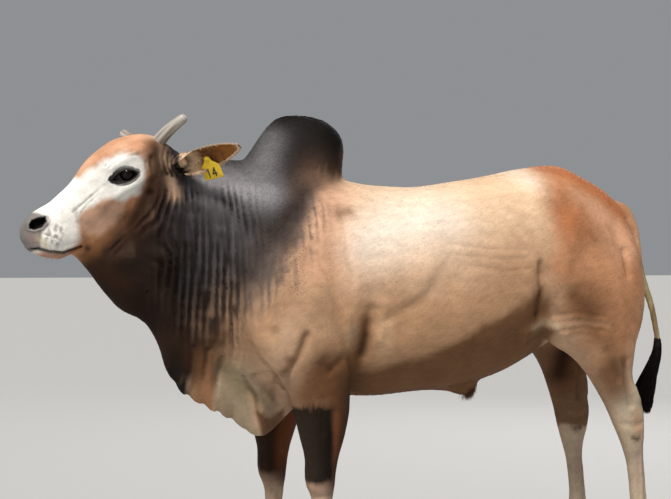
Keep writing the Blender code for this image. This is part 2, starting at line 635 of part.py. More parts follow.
def part_flesh(flesh):
    """Head, neck, dewlap, hump, torso, sheath, scrotum and legs, parted by thin cuts."""
    body = thinned(flesh, BODY_TRIANGLES)
    fine = thinned(flesh, HEAD_TRIANGLES)
    nodes = {"head": part_off(fine, "head", HEAD_BLOCK, -0.3, 0.3, on_head)}
    bpy.data.objects.remove(fine)
    behind = prism("block", HEAD_BLOCK, -0.3, 0.3, GAP, on_head)
    combine(body, behind, "DIFFERENCE")
    bpy.data.objects.remove(behind)
    nodes["dewlap"] = part_off(body, "dewlap", DEWLAP_BLOCK, -DEWLAP_HALF, DEWLAP_HALF)
    nodes["neck"] = part_off(body, "neck", NECK_BLOCK, -0.4, 0.4)
    nodes["hump"] = part_off(body, "hump", HUMP_BLOCK, -0.3, 0.3)
    nodes["sheath"] = part_off(body, "sheath", SHEATH_BLOCK, -SHEATH_HALF, SHEATH_HALF)
    nodes["scrotum"] = part_off(body, "scrotum", SCROTUM_BLOCK, -SCROTUM_HALF, SCROTUM_HALF)
    for side, word in ((NEAR, "left"), (FAR, "right")):
        far = side == FAR
        for kind, blocks, step in (("foreleg", FORE_BLOCKS, FORE_STEP), ("hindleg", HIND_BLOCKS, HIND_STEP)):
            for level, outline in blocks.items():
                shift = BLOCK_SHARE[level] * step if far else 0.0
                name = f"{kind}_{word}_{level}"
                nodes[name] = part_off(body, name, *leg_blocks(side, shift, outline))
    nodes["torso"] = largest_piece(body)
    body.name = "torso"
    return nodes


def tube(name, path, radii, sides=10, flat=1.0, across=(0.0, 1.0, 0.0)):
    """A closed tapering tube along a path; flat squeezes it along the direction named across."""
    path = np.array(path, float)
    ahead = np.gradient(path, axis=0)
    ahead /= np.linalg.norm(ahead, axis=1)[:, None]
    first = np.cross(np.array(across, float), ahead)
    first /= np.linalg.norm(first, axis=1)[:, None]
    second = np.cross(ahead, first)
    angles = np.arange(sides) * 2 * math.pi / sides
    c, s = np.cos(angles)[None, :, None], np.sin(angles)[None, :, None]
    radii = np.array(radii, float)[:, None, None]
    return loft(name, path[:, None] + radii * (c * first[:, None] + flat * s * second[:, None]))


def bezier(points, count):
    """Points along a cubic curve with four control points."""
    a, b, c, d = (np.array(p, float) for p in points)
    t = np.linspace(0, 1, count)[:, None]
    return (1 - t) ** 3 * a + 3 * t * (1 - t) ** 2 * b + 3 * t**2 * (1 - t) * c + t**3 * d


def make_horn(name, base, middle, tip, head):
    """A short stout horn: a bent cone with a rounded tip, its root sunk in the head and trimmed there."""
    path = bezier((base, base, middle, tip), 9)
    share = np.linspace(0, 1, 9)
    radii = HORN_BASE + (HORN_TIP - HORN_BASE) * share**1.2
    ahead = (path[-1] - path[-2]) / np.linalg.norm(path[-1] - path[-2])
    caps = [path[-1] + ahead * HORN_TIP * k for k in (0.55, 0.85)]
    path = np.vstack([path, caps])
    radii = np.concatenate([radii, [HORN_TIP * 0.8, HORN_TIP * 0.4]])
    return trim(tube(name, path, radii, 12), head)


def ear_axes(side):
    """Where an ear starts, how far it reaches, and unit vectors out of its cup and across it."""
    root = on_head([EAR_ROOT[0], side * EAR_ROOT[1], EAR_ROOT[2]])
    flip = np.array((1.0, -side, 1.0))
    lean, facing = np.array(EAR_REACH) * flip, np.array(EAR_FACING) * flip
    along = lean / np.linalg.norm(lean)
    facing -= along * (facing @ along)
    facing /= np.linalg.norm(facing)
    return root, lean, facing, np.cross(along, facing)


def ear_base(side):
    """The round root of an ear, part of the head's flesh."""
    root, lean, _, _ = ear_axes(side)
    path = [root + lean * share for share, _ in EAR_BASE]
    return tube("flesh", path, [radius for _, radius in EAR_BASE], 16)


def ear_point(side, share, radius, degrees):
    """A point of the cup's wall: an arc whose back lies on the ear's axis."""
    root, lean, facing, across = ear_axes(side)
    angle = math.radians(degrees)
    return root + lean * share + radius * (facing * (1 - math.cos(angle)) + across * math.sin(angle))


def make_ear(name, side, head):
    """A cupped leaf: arcs of changing radius and opening angle along its axis, given a wall."""
    rows = smooth_rows(EAR_ROWS, 0.1)
    sweep = np.linspace(-1, 1, 9)
    points = np.array(
        [[ear_point(side, share, radius, opening * k) for k in sweep] for share, radius, opening in rows]
    )
    count, width, _ = points.shape
    faces = [
        (i * width + j, i * width + j + 1, (i + 1) * width + j + 1, (i + 1) * width + j)
        for i in range(count - 1)
        for j in range(width - 1)
    ]
    ear = mesh_object(name, points.reshape(-1, 3), faces)
    wall = ear.modifiers.new("Wall", "SOLIDIFY")
    wall.thickness = EAR_WALL
    wall.offset = 0.0
    applied(ear)
    bm = bmesh.new()
    bm.from_mesh(ear.data)
    bmesh.ops.triangulate(bm, faces=bm.faces)
    bm.to_mesh(ear.data)
    bm.free()
    return trim(ear, head)


def claw_rings(x, y, toe_in):
    """Level rings of one claw, from its flat sole up to the coronet, its toe forwards."""
    rows = [
        (0.0, x - 0.020, y + toe_in, 0.056, 0.0205),
        (0.006, x - 0.021, y + toe_in, 0.058, 0.0215),
        (0.030, x - 0.010, y + toe_in * 0.5, 0.050, 0.0210),
        (HOOF_TOP - 0.004, x - 0.001, y, 0.0415, 0.0195),
        (HOOF_TOP, x, y, 0.0395, 0.0185),
    ]
    return level_rings(rows, 2.5, 14)


def make_foot(nodes, leg_name, rows):
    """Two claws under a leg and two dewclaws behind its fetlock."""
    leg = nodes[f"{leg_name}_lower"]
    cut_at = rows[-2]
    fetlock = min(rows, key=lambda row: abs(row[0] - 0.142))
    for word, way in (("outer", 1), ("inner", -1)):
        offset = way * math.copysign(CLAW_SPREAD, cut_at[2])
        name = f"{leg_name}_claw_{word}"
        nodes[name] = loft(name, claw_rings(cut_at[1], cut_at[2] + offset, -0.06 * offset))
        name = f"{leg_name}_dewclaw_{word}"
        start = np.array([fetlock[1] + 0.018, cut_at[2] + offset * 0.85, 0.137])
        bend = [(0.0, 0.0, 0.004), (0.018, 0.0, -0.002), (0.028, 0.0, -0.012), (0.032, 0.0, -0.022)]
        path = start + np.array(bend)
        nodes[name] = trim(tube(name, path, (0.012, 0.0125, 0.0105, 0.005), 8), leg)


def make_eye(name, side, head):
    """An eyeball in a socket that is cut to fit it."""
    place = on_head([EYE_AT[0], side * EYE_AT[1], EYE_AT[2]])
    for lift, label in ((1, "upper"), (-1, "lower")):
        angle = np.linspace(-1, 1, 9)
        half = LID_LENGTH / 2
        arch = LID_ARCH[label] * (1 - angle**2)
        bulge = EYE_RADIUS * np.sqrt(np.clip(1.0 - (0.72 * angle) ** 2, 0, 1)) * 0.97
        path = on_head(
            np.stack(
                [
                    EYE_AT[0] + half * angle,
                    side * (EYE_AT[1] + bulge),
                    EYE_AT[2] + lift * arch - EYE_TILT * angle,
                ],
                axis=1,
            )
        )
        lid = tube("lid", path, LID_THICK * (1.05 - 0.75 * angle**2), 6, 1.0, (0.0, 0.0, 1.0))
        combine(head, lid, "UNION")
        bpy.data.objects.remove(lid)
    room = EYE_RADIUS + TRIM_GAP
    bpy.ops.mesh.primitive_uv_sphere_add(segments=14, ring_count=9, radius=room, location=place)
    socket = bpy.context.object
    combine(head, socket, "DIFFERENCE")
    bpy.data.objects.remove(socket)
    largest_piece(head)
    bpy.ops.mesh.primitive_uv_sphere_add(segments=14, ring_count=9, radius=EYE_RADIUS, location=place)
    eye = bpy.context.object
    eye.name = name
    eye.data.transform(Matrix.Translation(eye.location))
    eye.location = (0.0, 0.0, 0.0)
    return eye


def cut_face(head):
    """Nostrils and the line of the mouth, cut along the skin of the head on both sides."""
    for side in (NEAR, FAR):
        for path, radii, flat in ((NOSTRIL_PATH, NOSTRIL_RADII, 0.8), (MOUTH_PATH, MOUTH_RADII, 1.0)):
            guesses = on_head([(s, side * y, h) for s, y, h in path])
            on_skin = [head.closest_point_on_mesh(Vector(point))[1] for point in guesses]
            cutter = tube("cutter", on_skin, radii, 8, flat)
            combine(head, cutter, "DIFFERENCE")
            bpy.data.objects.remove(cutter)
    return largest_piece(head)


def tail_line(places):
    """Points and radii of the tail at places counted along its rows."""
    curve = smooth_rows([(k, *row) for k, row in enumerate(TAIL)], 0.25)
    return np.stack([np.interp(places, curve[:, 0], curve[:, k]) for k in range(1, 5)], axis=1)


def join_all(core, pieces):
    """The core and its pieces as one closed body."""
    group = bpy.data.collections.new("pieces")
    bpy.context.scene.collection.children.link(group)
    for piece in pieces:
        group.objects.link(piece)
    step = core.modifiers.new("Join", "BOOLEAN")
    step.operation = "UNION"
    step.operand_type = "COLLECTION"
    step.collection = group
    step.solver = "EXACT"
    applied(core)
    for piece in pieces:
        bpy.data.objects.remove(piece)
    bpy.data.collections.remove(group)
    return largest_piece(core)


def switch_locks():
    """Flat tapering locks that leave the end of the tail all round and hang down over one another."""
    locks = []
    for k in range(SWITCH_LOCKS):
        share = k / (SWITCH_LOCKS - 1)
        start = SWITCH_TOP + (SWITCH_END - LOCK_SPAN - SWITCH_TOP) * share
        line = tail_line(start + LOCK_SPAN * np.array([0.0, 0.25, 0.55, 0.8, 1.0]))
        turn = k * math.radians(137.5)
        outward = np.array((math.cos(turn), math.sin(turn), 0.0))
        flare = LOCK_FLARE * (0.75 + 0.25 * math.sin(3.0 * k))
        lift = line[:, 3] * (0.45, 0.9, 1.0, 1.0, 1.0) + flare * np.array([0.0, 0.35, 0.8, 0.85, 0.6])
        path = line[:, :3] + lift[:, None] * outward
        radii = LOCK_WIDTH * np.array([0.75, 1.0, 0.85, 0.5, 0.12])
        locks.append(tube("lock", path, radii, 5, LOCK_FLAT, outward))
    return locks


def make_tail(nodes):
    """Dock, middle and switch, parted by small gaps along one smooth path."""
    line = tail_line(np.arange(0, len(TAIL) - 1 + 0.01, 0.25))
    whole = tube("tail", line[:, :3], line[:, 3], 10, 1.0)
    for name, outline in TAIL_BLOCKS.items():
        nodes[name] = part_off(whole, name, outline, -0.3, 0.3)
    bpy.data.objects.remove(whole)
    join_all(nodes["tail_switch"], switch_locks())
    trim(nodes["tail_switch"], nodes["tail_middle"])
    trim(nodes["tail_dock"], nodes["torso"])


def make_tag(nodes):
    """A soft ear tag: a shouldered plate in front of the left ear, a stem through it and a button behind."""
    ear = nodes["ear_left"]
    rows = smooth_rows(EAR_ROWS, 0.1)
    radius = float(np.interp(TAG_SHARE, rows[:, 0], rows[:, 1]))
    _, _, facing, across_ear = ear_axes(NEAR)
    angle = math.radians(TAG_ANGLE)
    face = facing * math.cos(angle) - across_ear * math.sin(angle)
    down = across_ear * math.cos(angle) + facing * math.sin(angle)
    turn = Matrix([list(row) for row in np.stack([np.cross(down, face), down, face], axis=1)]).to_4x4()
    place = Matrix.Translation(Vector(ear_point(NEAR, TAG_SHARE, radius, TAG_ANGLE))) @ turn
    outline = np.array([(x * TAG_WIDTH, y * TAG_HEIGHT) for x, y in TAG_OUTLINE])
    outline = np.vstack([outline, outline[::-1] * (-1, 1)])
    plate = loft("ear_tag", [[(x, y, z) for x, y in outline] for z in (TAG_LIFT, TAG_LIFT + TAG_THICK)])
    stem = level_tube("stem", (TAG_LIFT + TAG_THICK * 1.8, -STEM_LENGTH), (STEM_RADIUS, STEM_RADIUS), 10)
    button = level_tube("ear_tag_button", (-STEM_LENGTH - GAP, -STEM_LENGTH - BUTTON_THICK),
                        (BUTTON_RADIUS, BUTTON_RADIUS * 0.8), 16)
    hole = level_tube("hole", (TAG_LIFT, -STEM_LENGTH), (STEM_RADIUS + TRIM_GAP, STEM_RADIUS + TRIM_GAP), 10)
    combine(plate, stem, "UNION")
    for obj in (plate, button, hole):
        obj.data.transform(place)
        obj.data.update()
    combine(ear, hole, "DIFFERENCE")
    for obj in (stem, hole):
        bpy.data.objects.remove(obj)
    largest_piece(ear)
    nodes["ear_tag"] = trim(plate, ear)
    nodes["ear_tag_button"] = button


def level_tube(name, heights, radii, sides):
    """A short upright tube on the Z axis."""
    return tube(name, [(0.0, 0.0, z) for z in heights], radii, sides)


def paint(nodes):
    """A plain material for each node, in the colours of its place on the bull."""
    for name, node in nodes.items():
        colour = next(value for key, value in COLOURS.items() if name.startswith(key))
        if "claw" in name:
            colour = COLOURS["claw"]
        material = bpy.data.materials.new(name)
        material.use_nodes = True
        shader = material.node_tree.nodes["Principled BSDF"]
        shader.inputs["Base Color"].default_value = (*colour[:3], 1.0)
        shader.inputs["Roughness"].default_value = colour[3]
        node.data.materials.clear()
        node.data.materials.append(material)
        node.data.shade_smooth()
        node.data.set_sharp_from_angle(angle=math.radians(40))


def centre_on_box(nodes):
    """Move every node so that the origin is the middle of the bottom of the whole box."""
    corners = np.vstack([points_of(node) for node in nodes.values()])
    low, high = corners.min(axis=0), corners.max(axis=0)
    shift = Vector((-(low[0] + high[0]) / 2, -(low[1] + high[1]) / 2, -low[2]))
    for node in nodes.values():
        node.data.transform(Matrix.Translation(shift))
    return shift


def main():
    for obj in list(bpy.data.objects):
        bpy.data.objects.remove(obj)
    flesh = make_flesh()
    nodes = part_flesh(flesh)
    bpy.data.objects.remove(flesh)
    cut_face(nodes["head"])
    nodes["eye_left"] = make_eye("eye_left", NEAR, nodes["head"])
    nodes["eye_right"] = make_eye("eye_right", FAR, nodes["head"])
    for word, (base, middle, tip) in HORNS.items():
        horn = make_horn(f"horn_{word}", base, middle, tip, nodes["head"])
        nodes[f"horn_{word}"] = trim(horn, nodes["neck"])
    for word, side in (("left", NEAR), ("right", FAR)):
        ear = make_ear(f"ear_{word}", side, nodes["head"])
        nodes[f"ear_{word}"] = trim(ear, nodes["neck"])
        make_foot(nodes, f"foreleg_{word}", leg_rows(FORE_LEG, side))
        make_foot(nodes, f"hindleg_{word}", leg_rows(HIND_LEG, side))
    make_tail(nodes)
    make_tag(nodes)
    centre_on_box(nodes)
    paint(nodes)
    bull = bpy.data.collections.new("zebu_bull")
    bpy.context.scene.collection.children.link(bull)
    for name, node in nodes.items():
        node.name = name
        for home in list(node.users_collection):
            home.objects.unlink(node)
        bull.objects.link(node)


main()
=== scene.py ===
# %% [markdown]
# # A standing zebu bull
# The real animal is a humped bull with a dark neck, a pale body and loose skin that hangs in folds. We build
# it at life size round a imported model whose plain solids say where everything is. This first step loads those
# solids as a fixed frame and notes the box that they fill, because the finished bull may not grow out of it.

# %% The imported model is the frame
import json
import math

import bmesh
import bpy
import numpy as np
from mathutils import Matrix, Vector

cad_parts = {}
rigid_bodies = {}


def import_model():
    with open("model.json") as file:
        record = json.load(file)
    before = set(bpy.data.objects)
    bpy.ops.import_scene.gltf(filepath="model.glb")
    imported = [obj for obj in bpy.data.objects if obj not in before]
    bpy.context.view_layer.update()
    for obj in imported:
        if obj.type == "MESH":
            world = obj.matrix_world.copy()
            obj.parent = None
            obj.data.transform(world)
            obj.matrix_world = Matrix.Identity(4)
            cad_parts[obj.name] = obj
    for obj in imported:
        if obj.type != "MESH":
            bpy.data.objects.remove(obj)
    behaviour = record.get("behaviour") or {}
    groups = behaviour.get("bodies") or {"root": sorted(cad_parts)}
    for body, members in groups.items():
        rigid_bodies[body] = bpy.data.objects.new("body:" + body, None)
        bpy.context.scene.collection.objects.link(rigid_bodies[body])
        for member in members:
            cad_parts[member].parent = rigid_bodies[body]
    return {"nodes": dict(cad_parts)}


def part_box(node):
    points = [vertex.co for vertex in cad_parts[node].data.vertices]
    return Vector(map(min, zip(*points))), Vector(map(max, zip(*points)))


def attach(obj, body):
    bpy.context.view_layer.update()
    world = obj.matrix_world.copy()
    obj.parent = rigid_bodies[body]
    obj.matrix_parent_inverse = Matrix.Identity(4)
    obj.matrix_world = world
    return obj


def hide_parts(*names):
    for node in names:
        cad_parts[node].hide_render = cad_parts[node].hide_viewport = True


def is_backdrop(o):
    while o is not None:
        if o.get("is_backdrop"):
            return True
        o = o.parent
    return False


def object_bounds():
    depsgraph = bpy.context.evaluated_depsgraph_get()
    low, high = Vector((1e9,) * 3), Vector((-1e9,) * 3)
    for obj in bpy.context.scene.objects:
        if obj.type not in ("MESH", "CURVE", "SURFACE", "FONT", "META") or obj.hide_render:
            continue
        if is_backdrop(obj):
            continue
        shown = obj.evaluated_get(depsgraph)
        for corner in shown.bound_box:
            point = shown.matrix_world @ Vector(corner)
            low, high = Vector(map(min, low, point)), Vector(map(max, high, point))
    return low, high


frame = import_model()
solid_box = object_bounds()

print("solids:", len(frame["nodes"]), "box:", [round(v, 3) for corner in solid_box for v in corner])

# %% [markdown]
# ## Curves and skins from rows of numbers
# A body like this has no straight line in it. A sculptor could push clay by eye, but rows of measured
# sections are easier to check against a photograph. A smooth curve is run through the rows, each row becomes
# a ring, and the rings carry a closed skin. Everything is worked out as whole arrays, so it is quick.

# %% Helpers for rows, rings and meshes
NEAR, FAR = -1, 1


def smooth_rows(rows, step=0.012):
    """Rows on a smooth curve through the given ones: a cubic between each pair, with the harmonic mean of the
    slopes on both sides as its slope, so that it never overshoots."""
    rows = np.array(rows, float)
    span = np.diff(rows[:, 0])[:, None]
    slope = np.diff(rows, axis=0) / span
    product = slope[:-1] * slope[1:]
    total = slope[:-1] + slope[1:]
    middle = np.where(product > 0, 2 * product / np.where(product > 0, total, 1.0), 0.0)
    tangent = np.vstack([slope[:1], middle, slope[-1:]])
    found = [rows[:1]]
    for k in range(len(rows) - 1):
        count = max(1, round(abs(span[k, 0]) / step))
        t = (np.arange(count) + 1)[:, None] / count
        start, end = rows[k], rows[k + 1]
        bend = (t**3 - 2 * t**2 + t) * tangent[k] + (t**3 - t**2) * tangent[k + 1]
        found.append((2 * t**3 - 3 * t**2 + 1) * start + (3 * t**2 - 2 * t**3) * end + span[k] * bend)
    return np.vstack(found)


def ramp(low, high, value):
    """0 below low, 1 above high, and an S-shaped rise between them: 3t² - 2t³."""
    t = np.clip((value - low) / (high - low), 0, 1)
    return t * t * (3 - 2 * t)


def rounded(angles, power):
    """Cosine and sine of a superellipse: power 2 is an ellipse, more is boxier and less is sharper."""
    c, s = np.cos(angles), np.sin(angles)
    return np.sign(c) * np.abs(c) ** (2 / power), np.sign(s) * np.abs(s) ** (2 / power)


def grid_faces(rows, columns, wrap=True):
    """Four-sided faces of a grid of points; wrap joins the last column to the first."""
    i, j = np.meshgrid(np.arange(rows - 1), np.arange(columns - (not wrap)), indexing="ij")
    after = (j + 1) % columns
    corners = [i * columns + j, i * columns + after, (i + 1) * columns + after, (i + 1) * columns + j]
    return np.stack(corners, axis=-1).reshape(-1, 4)


def enclosed(points, quads, tris):
    """Volume inside the faces: the sum of the small tetrahedra between each triangle and the origin."""
    parts = np.vstack([quads[:, [0, 1, 2]], quads[:, [0, 2, 3]], tris])
    a, b, c = (points[parts[:, k]] for k in range(3))
    return float(np.sum(np.cross(a, b) * c) / 6)


def closed_loft(rings):
    """Points, quads and triangles of a skin through rings of equal count, with a fan over each end."""
    rings = np.asarray(rings, float)
    count, sides, _ = rings.shape
    points = np.vstack([rings.reshape(-1, 3), rings[0].mean(0)[None], rings[-1].mean(0)[None]])
    quads = grid_faces(count, sides)
    j = np.arange(sides)
    after = (j + 1) % sides
    top = (count - 1) * sides
    start = np.stack([np.full(sides, top + sides), after, j], axis=1)
    end = np.stack([np.full(sides, top + sides + 1), top + j, top + after], axis=1)
    tris = np.vstack([start, end])
    if enclosed(points, quads, tris) < 0:
        quads, tris = quads[:, ::-1], tris[:, ::-1]
    return points, quads, tris


def gathered(shapes):
    """Several sets of points, quads and triangles as one set."""
    starts = np.cumsum([0] + [len(shape[0]) for shape in shapes])
    points = np.vstack([shape[0] for shape in shapes])
    quads = np.vstack([shape[1] + k for shape, k in zip(shapes, starts)])
    tris = np.vstack([shape[2] + k for shape, k in zip(shapes, starts)])
    return points, quads, tris


def as_mesh(name, shape):
    """A mesh object at the origin from points, quads and triangles."""
    points, quads, tris = shape
    mesh = bpy.data.meshes.new(name)
    mesh.from_pydata(points.tolist(), [], quads.tolist() + tris.tolist())
    mesh.shade_smooth()
    obj = bpy.data.objects.new(name, mesh)
    bpy.context.scene.collection.objects.link(obj)
    return obj


def read_points(obj, what="co"):
    """Places or normals of an object's points as an array of rows."""
    values = np.empty(len(obj.data.vertices) * 3, np.float32)
    obj.data.vertices.foreach_get(what, values)
    return values.reshape(-1, 3).astype(float)


def write_points(obj, points):
    """Puts an array of places back into an object's points."""
    obj.data.vertices.foreach_set("co", points.astype(np.float32).ravel())
    obj.data.update()


def with_modifiers(obj):
    """Works an object's modifiers into its mesh."""
    graph = bpy.context.evaluated_depsgraph_get()
    mesh = bpy.data.meshes.new_from_object(obj.evaluated_get(graph))
    obj.modifiers.clear()
    obj.data = mesh


def triangles(obj):
    """How many triangles an object's faces come to."""
    return sum(len(face.vertices) - 2 for face in obj.data.polygons)


print("helpers ready")

# %% [markdown]
# ## The head's own frame
# A head is easiest to shape lying level with its nose ahead. These few lines carry places given forwards,
# sideways and upwards of the poll, the bump between the horns, to where the head is held in this pose. The
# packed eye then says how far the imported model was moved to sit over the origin, and all pieces move as far.

# %% Pose of the head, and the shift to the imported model
HEAD_POLL = np.array((-0.585, 0.0, 1.414))
HEAD_PITCH = math.radians(33.4)
HEAD_YAW = math.radians(5.0)
EYE_AT = np.array((0.178, 0.0885, -0.031))
EYE_RADIUS = 0.021

forward = np.array((-math.cos(HEAD_PITCH), 0.0, -math.sin(HEAD_PITCH)))
upward = np.array((-math.sin(HEAD_PITCH), 0.0, math.cos(HEAD_PITCH)))
across_x, across_y = math.cos(HEAD_YAW), math.sin(HEAD_YAW)
turn = np.array(((across_x, -across_y, 0.0), (across_y, across_x, 0.0), (0.0, 0.0, 1.0)))
head_axes = turn @ np.stack([forward, (0.0, 1.0, 0.0), upward], axis=1)


def on_head(points):
    """Points given forwards, sideways and upwards of the poll, in the bull's frame."""
    return np.asarray(points, float) @ head_axes.T + HEAD_POLL


def in_head(points):
    """Points of the bull's frame, given forwards, sideways and upwards of the poll."""
    return (points - HEAD_POLL) @ head_axes


def folded(points):
    """Points with their right side folded onto the left, so that one stroke works on both."""
    return points * (1.0, 0.0, 1.0) - np.abs(points) * (0.0, 1.0, 0.0)


eye_low, eye_high = (np.array(corner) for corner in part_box("eye_left"))
shift = (eye_low + eye_high) / 2 - on_head(EYE_AT * (1, NEAR, 1))
print("shift to the packed model:", shift.round(4))

# %% [markdown]
# ## Measured sections of the bull
# These are the same sections that the solids were lofted from. The trunk, neck, throat skin, sheath and head
# are cut square to their length, and the hump, legs and scrotum are cut level. They are measured on a side
# view, and the widths come from what such a bull has. The feet, which it does not show, follow the breed.

# %% Rows of the body, head and legs
FORE_STEP, HIND_STEP, HOCK_DROP, HOOF_TOP = -0.088, -0.085, 0.035, 0.06
# Across the body: x, top, widest height, bottom, half width, powers of the upper and lower half
TRUNK = (
    (-0.47, 1.05, 0.9, 0.74, 0.08, 2.0, 2.0),
    (-0.42, 1.16, 0.9, 0.69, 0.14, 2.0, 2.0),
    (-0.33, 1.25, 0.9, 0.64, 0.19, 2.0, 1.9),
    (-0.2, 1.285, 0.9, 0.605, 0.215, 1.9, 1.8),
    (-0.05, 1.288, 0.91, 0.595, 0.228, 1.8, 1.8),
    (0.08, 1.268, 0.91, 0.59, 0.248, 1.9, 1.9),
    (0.2, 1.262, 0.92, 0.6, 0.266, 2.0, 2.0),
    (0.36, 1.282, 0.93, 0.615, 0.276, 2.1, 2.0),
    (0.5, 1.306, 0.96, 0.655, 0.264, 2.2, 2.0),
    (0.6, 1.328, 1.0, 0.705, 0.246, 2.3, 2.0),
    (0.69, 1.338, 1.04, 0.76, 0.232, 2.3, 2.0),
    (0.8, 1.298, 1.05, 0.805, 0.21, 2.1, 2.0),
    (0.89, 1.245, 1.04, 0.845, 0.168, 2.0, 2.0),
    (0.945, 1.175, 1.03, 0.88, 0.11, 2.0, 2.0),
    (0.965, 1.09, 1.02, 0.93, 0.05, 2.0, 2.0),
)
NECK = (
    (-0.7, 1.32, 1.15, 0.98, 0.08, 2.0, 2.0),
    (-0.65, 1.35, 1.14, 0.92, 0.108, 2.0, 2.0),
    (-0.57, 1.364, 1.12, 0.87, 0.13, 1.8, 2.0),
    (-0.47, 1.352, 1.08, 0.81, 0.15, 1.7, 2.0),
    (-0.37, 1.345, 1.05, 0.75, 0.172, 1.7, 2.0),
    (-0.27, 1.332, 1.01, 0.7, 0.192, 1.7, 2.0),
    (-0.16, 1.3, 0.96, 0.68, 0.2, 1.8, 2.0),
)
DEWLAP = (
    (-0.868, 1.085, 1.065, 1.045, 0.02, 2.0, 1.8),
    (-0.825, 1.125, 1.06, 0.998, 0.046, 2.2, 1.6),
    (-0.775, 1.165, 1.05, 0.93, 0.066, 2.2, 1.6),
    (-0.715, 1.2, 1.05, 0.866, 0.08, 2.2, 1.6),
    (-0.655, 1.21, 1.03, 0.836, 0.087, 2.2, 1.5),
    (-0.61, 1.15, 0.98, 0.775, 0.087, 2.0, 1.4),
    (-0.585, 1.01, 0.93, 0.69, 0.086, 2.0, 1.3),
    (-0.53, 0.98, 0.89, 0.605, 0.085, 2.0, 1.25),
    (-0.45, 0.95, 0.84, 0.555, 0.086, 2.0, 1.25),
    (-0.36, 0.9, 0.79, 0.507, 0.086, 2.0, 1.25),
    (-0.285, 0.85, 0.75, 0.462, 0.08, 2.0, 1.25),
    (-0.235, 0.8, 0.72, 0.478, 0.07, 2.0, 1.3),
    (-0.18, 0.75, 0.69, 0.54, 0.055, 2.0, 1.5),
    (-0.11, 0.71, 0.66, 0.6, 0.035, 2.0, 2.0),
)
SHEATH = (
    (0.2, 0.66, 0.63, 0.604, 0.02, 2.0, 2.0),
    (0.28, 0.66, 0.63, 0.602, 0.027, 2.0, 2.0),
    (0.34, 0.67, 0.63, 0.598, 0.032, 2.0, 2.0),
    (0.385, 0.67, 0.63, 0.584, 0.032, 2.0, 2.0),
    (0.415, 0.67, 0.63, 0.585, 0.028, 2.0, 2.0),
    (0.445, 0.67, 0.64, 0.61, 0.018, 2.0, 2.0),
)
# Sections square to the head's own axis, from the poll forwards
HEAD = (
    (-0.03, -0.038, -0.07, -0.105, 0.05, 2.0, 2.0),
    (0.0, 0.0, -0.05, -0.135, 0.08, 2.6, 2.0),
    (0.057, 0.045, -0.035, -0.152, 0.096, 2.5, 1.9),
    (0.1, 0.064, -0.022, -0.16, 0.104, 2.4, 1.8),
    (0.15, 0.077, -0.018, -0.165, 0.107, 2.3, 1.7),
    (0.2, 0.075, -0.025, -0.168, 0.1, 2.2, 1.7),
    (0.245, 0.068, -0.04, -0.168, 0.087, 2.1, 1.8),
    (0.28, 0.056, -0.05, -0.168, 0.078, 2.1, 1.9),
    (0.31, 0.042, -0.055, -0.167, 0.072, 2.2, 2.0),
    (0.345, 0.032, -0.058, -0.165, 0.066, 2.2, 2.0),
    (0.385, 0.026, -0.062, -0.161, 0.061, 2.3, 2.1),
    (0.415, 0.021, -0.062, -0.156, 0.06, 2.3, 2.2),
    (0.45, 0.024, -0.055, -0.15, 0.063, 2.3, 2.3),
    (0.48, 0.024, -0.05, -0.142, 0.064, 2.4, 2.4),
    (0.503, 0.02, -0.048, -0.128, 0.06, 2.4, 2.4),
    (0.523, 0.012, -0.047, -0.108, 0.052, 2.4, 2.4),
    (0.54, -0.004, -0.045, -0.085, 0.038, 2.2, 2.2),
    (0.549, -0.022, -0.045, -0.066, 0.02, 2.0, 2.0),
)
# Level sections: height, x, side, half length, half width
HUMP = (
    (1.16, -0.225, 0.0, 0.235, 0.12),
    (1.24, -0.21, 0.0, 0.205, 0.112),
    (1.3, -0.19, 0.0, 0.18, 0.104),
    (1.35, -0.166, 0.0, 0.16, 0.098),
    (1.395, -0.15, 0.0, 0.145, 0.09),
    (1.43, -0.145, 0.0, 0.126, 0.078),
    (1.458, -0.147, 0.0, 0.1, 0.062),
    (1.478, -0.155, 0.0, 0.066, 0.04),
    (1.486, -0.16, 0.0, 0.03, 0.018),
)
FORE_LEG = (
    (1.2, -0.13, 0.095, 0.08, 0.055),
    (1.08, -0.165, 0.135, 0.12, 0.075),
    (0.95, -0.195, 0.158, 0.145, 0.084),
    (0.84, -0.2, 0.163, 0.152, 0.084),
    (0.75, -0.175, 0.16, 0.142, 0.077),
    (0.68, -0.142, 0.158, 0.118, 0.069),
    (0.61, -0.122, 0.157, 0.1, 0.062),
    (0.54, -0.113, 0.156, 0.087, 0.055),
    (0.47, -0.112, 0.156, 0.071, 0.047),
    (0.41, -0.114, 0.156, 0.055, 0.041),
    (0.365, -0.118, 0.156, 0.051, 0.043),
    (0.325, -0.116, 0.156, 0.045, 0.041),
    (0.28, -0.112, 0.156, 0.034, 0.032),
    (0.21, -0.114, 0.156, 0.03, 0.029),
    (0.17, -0.117, 0.156, 0.035, 0.033),
    (0.142, -0.124, 0.156, 0.043, 0.039),
    (0.112, -0.137, 0.156, 0.037, 0.036),
    (0.085, -0.15, 0.156, 0.041, 0.04),
    (0.06, -0.162, 0.156, 0.047, 0.045),
    (0.045, -0.166, 0.156, 0.047, 0.045),
)
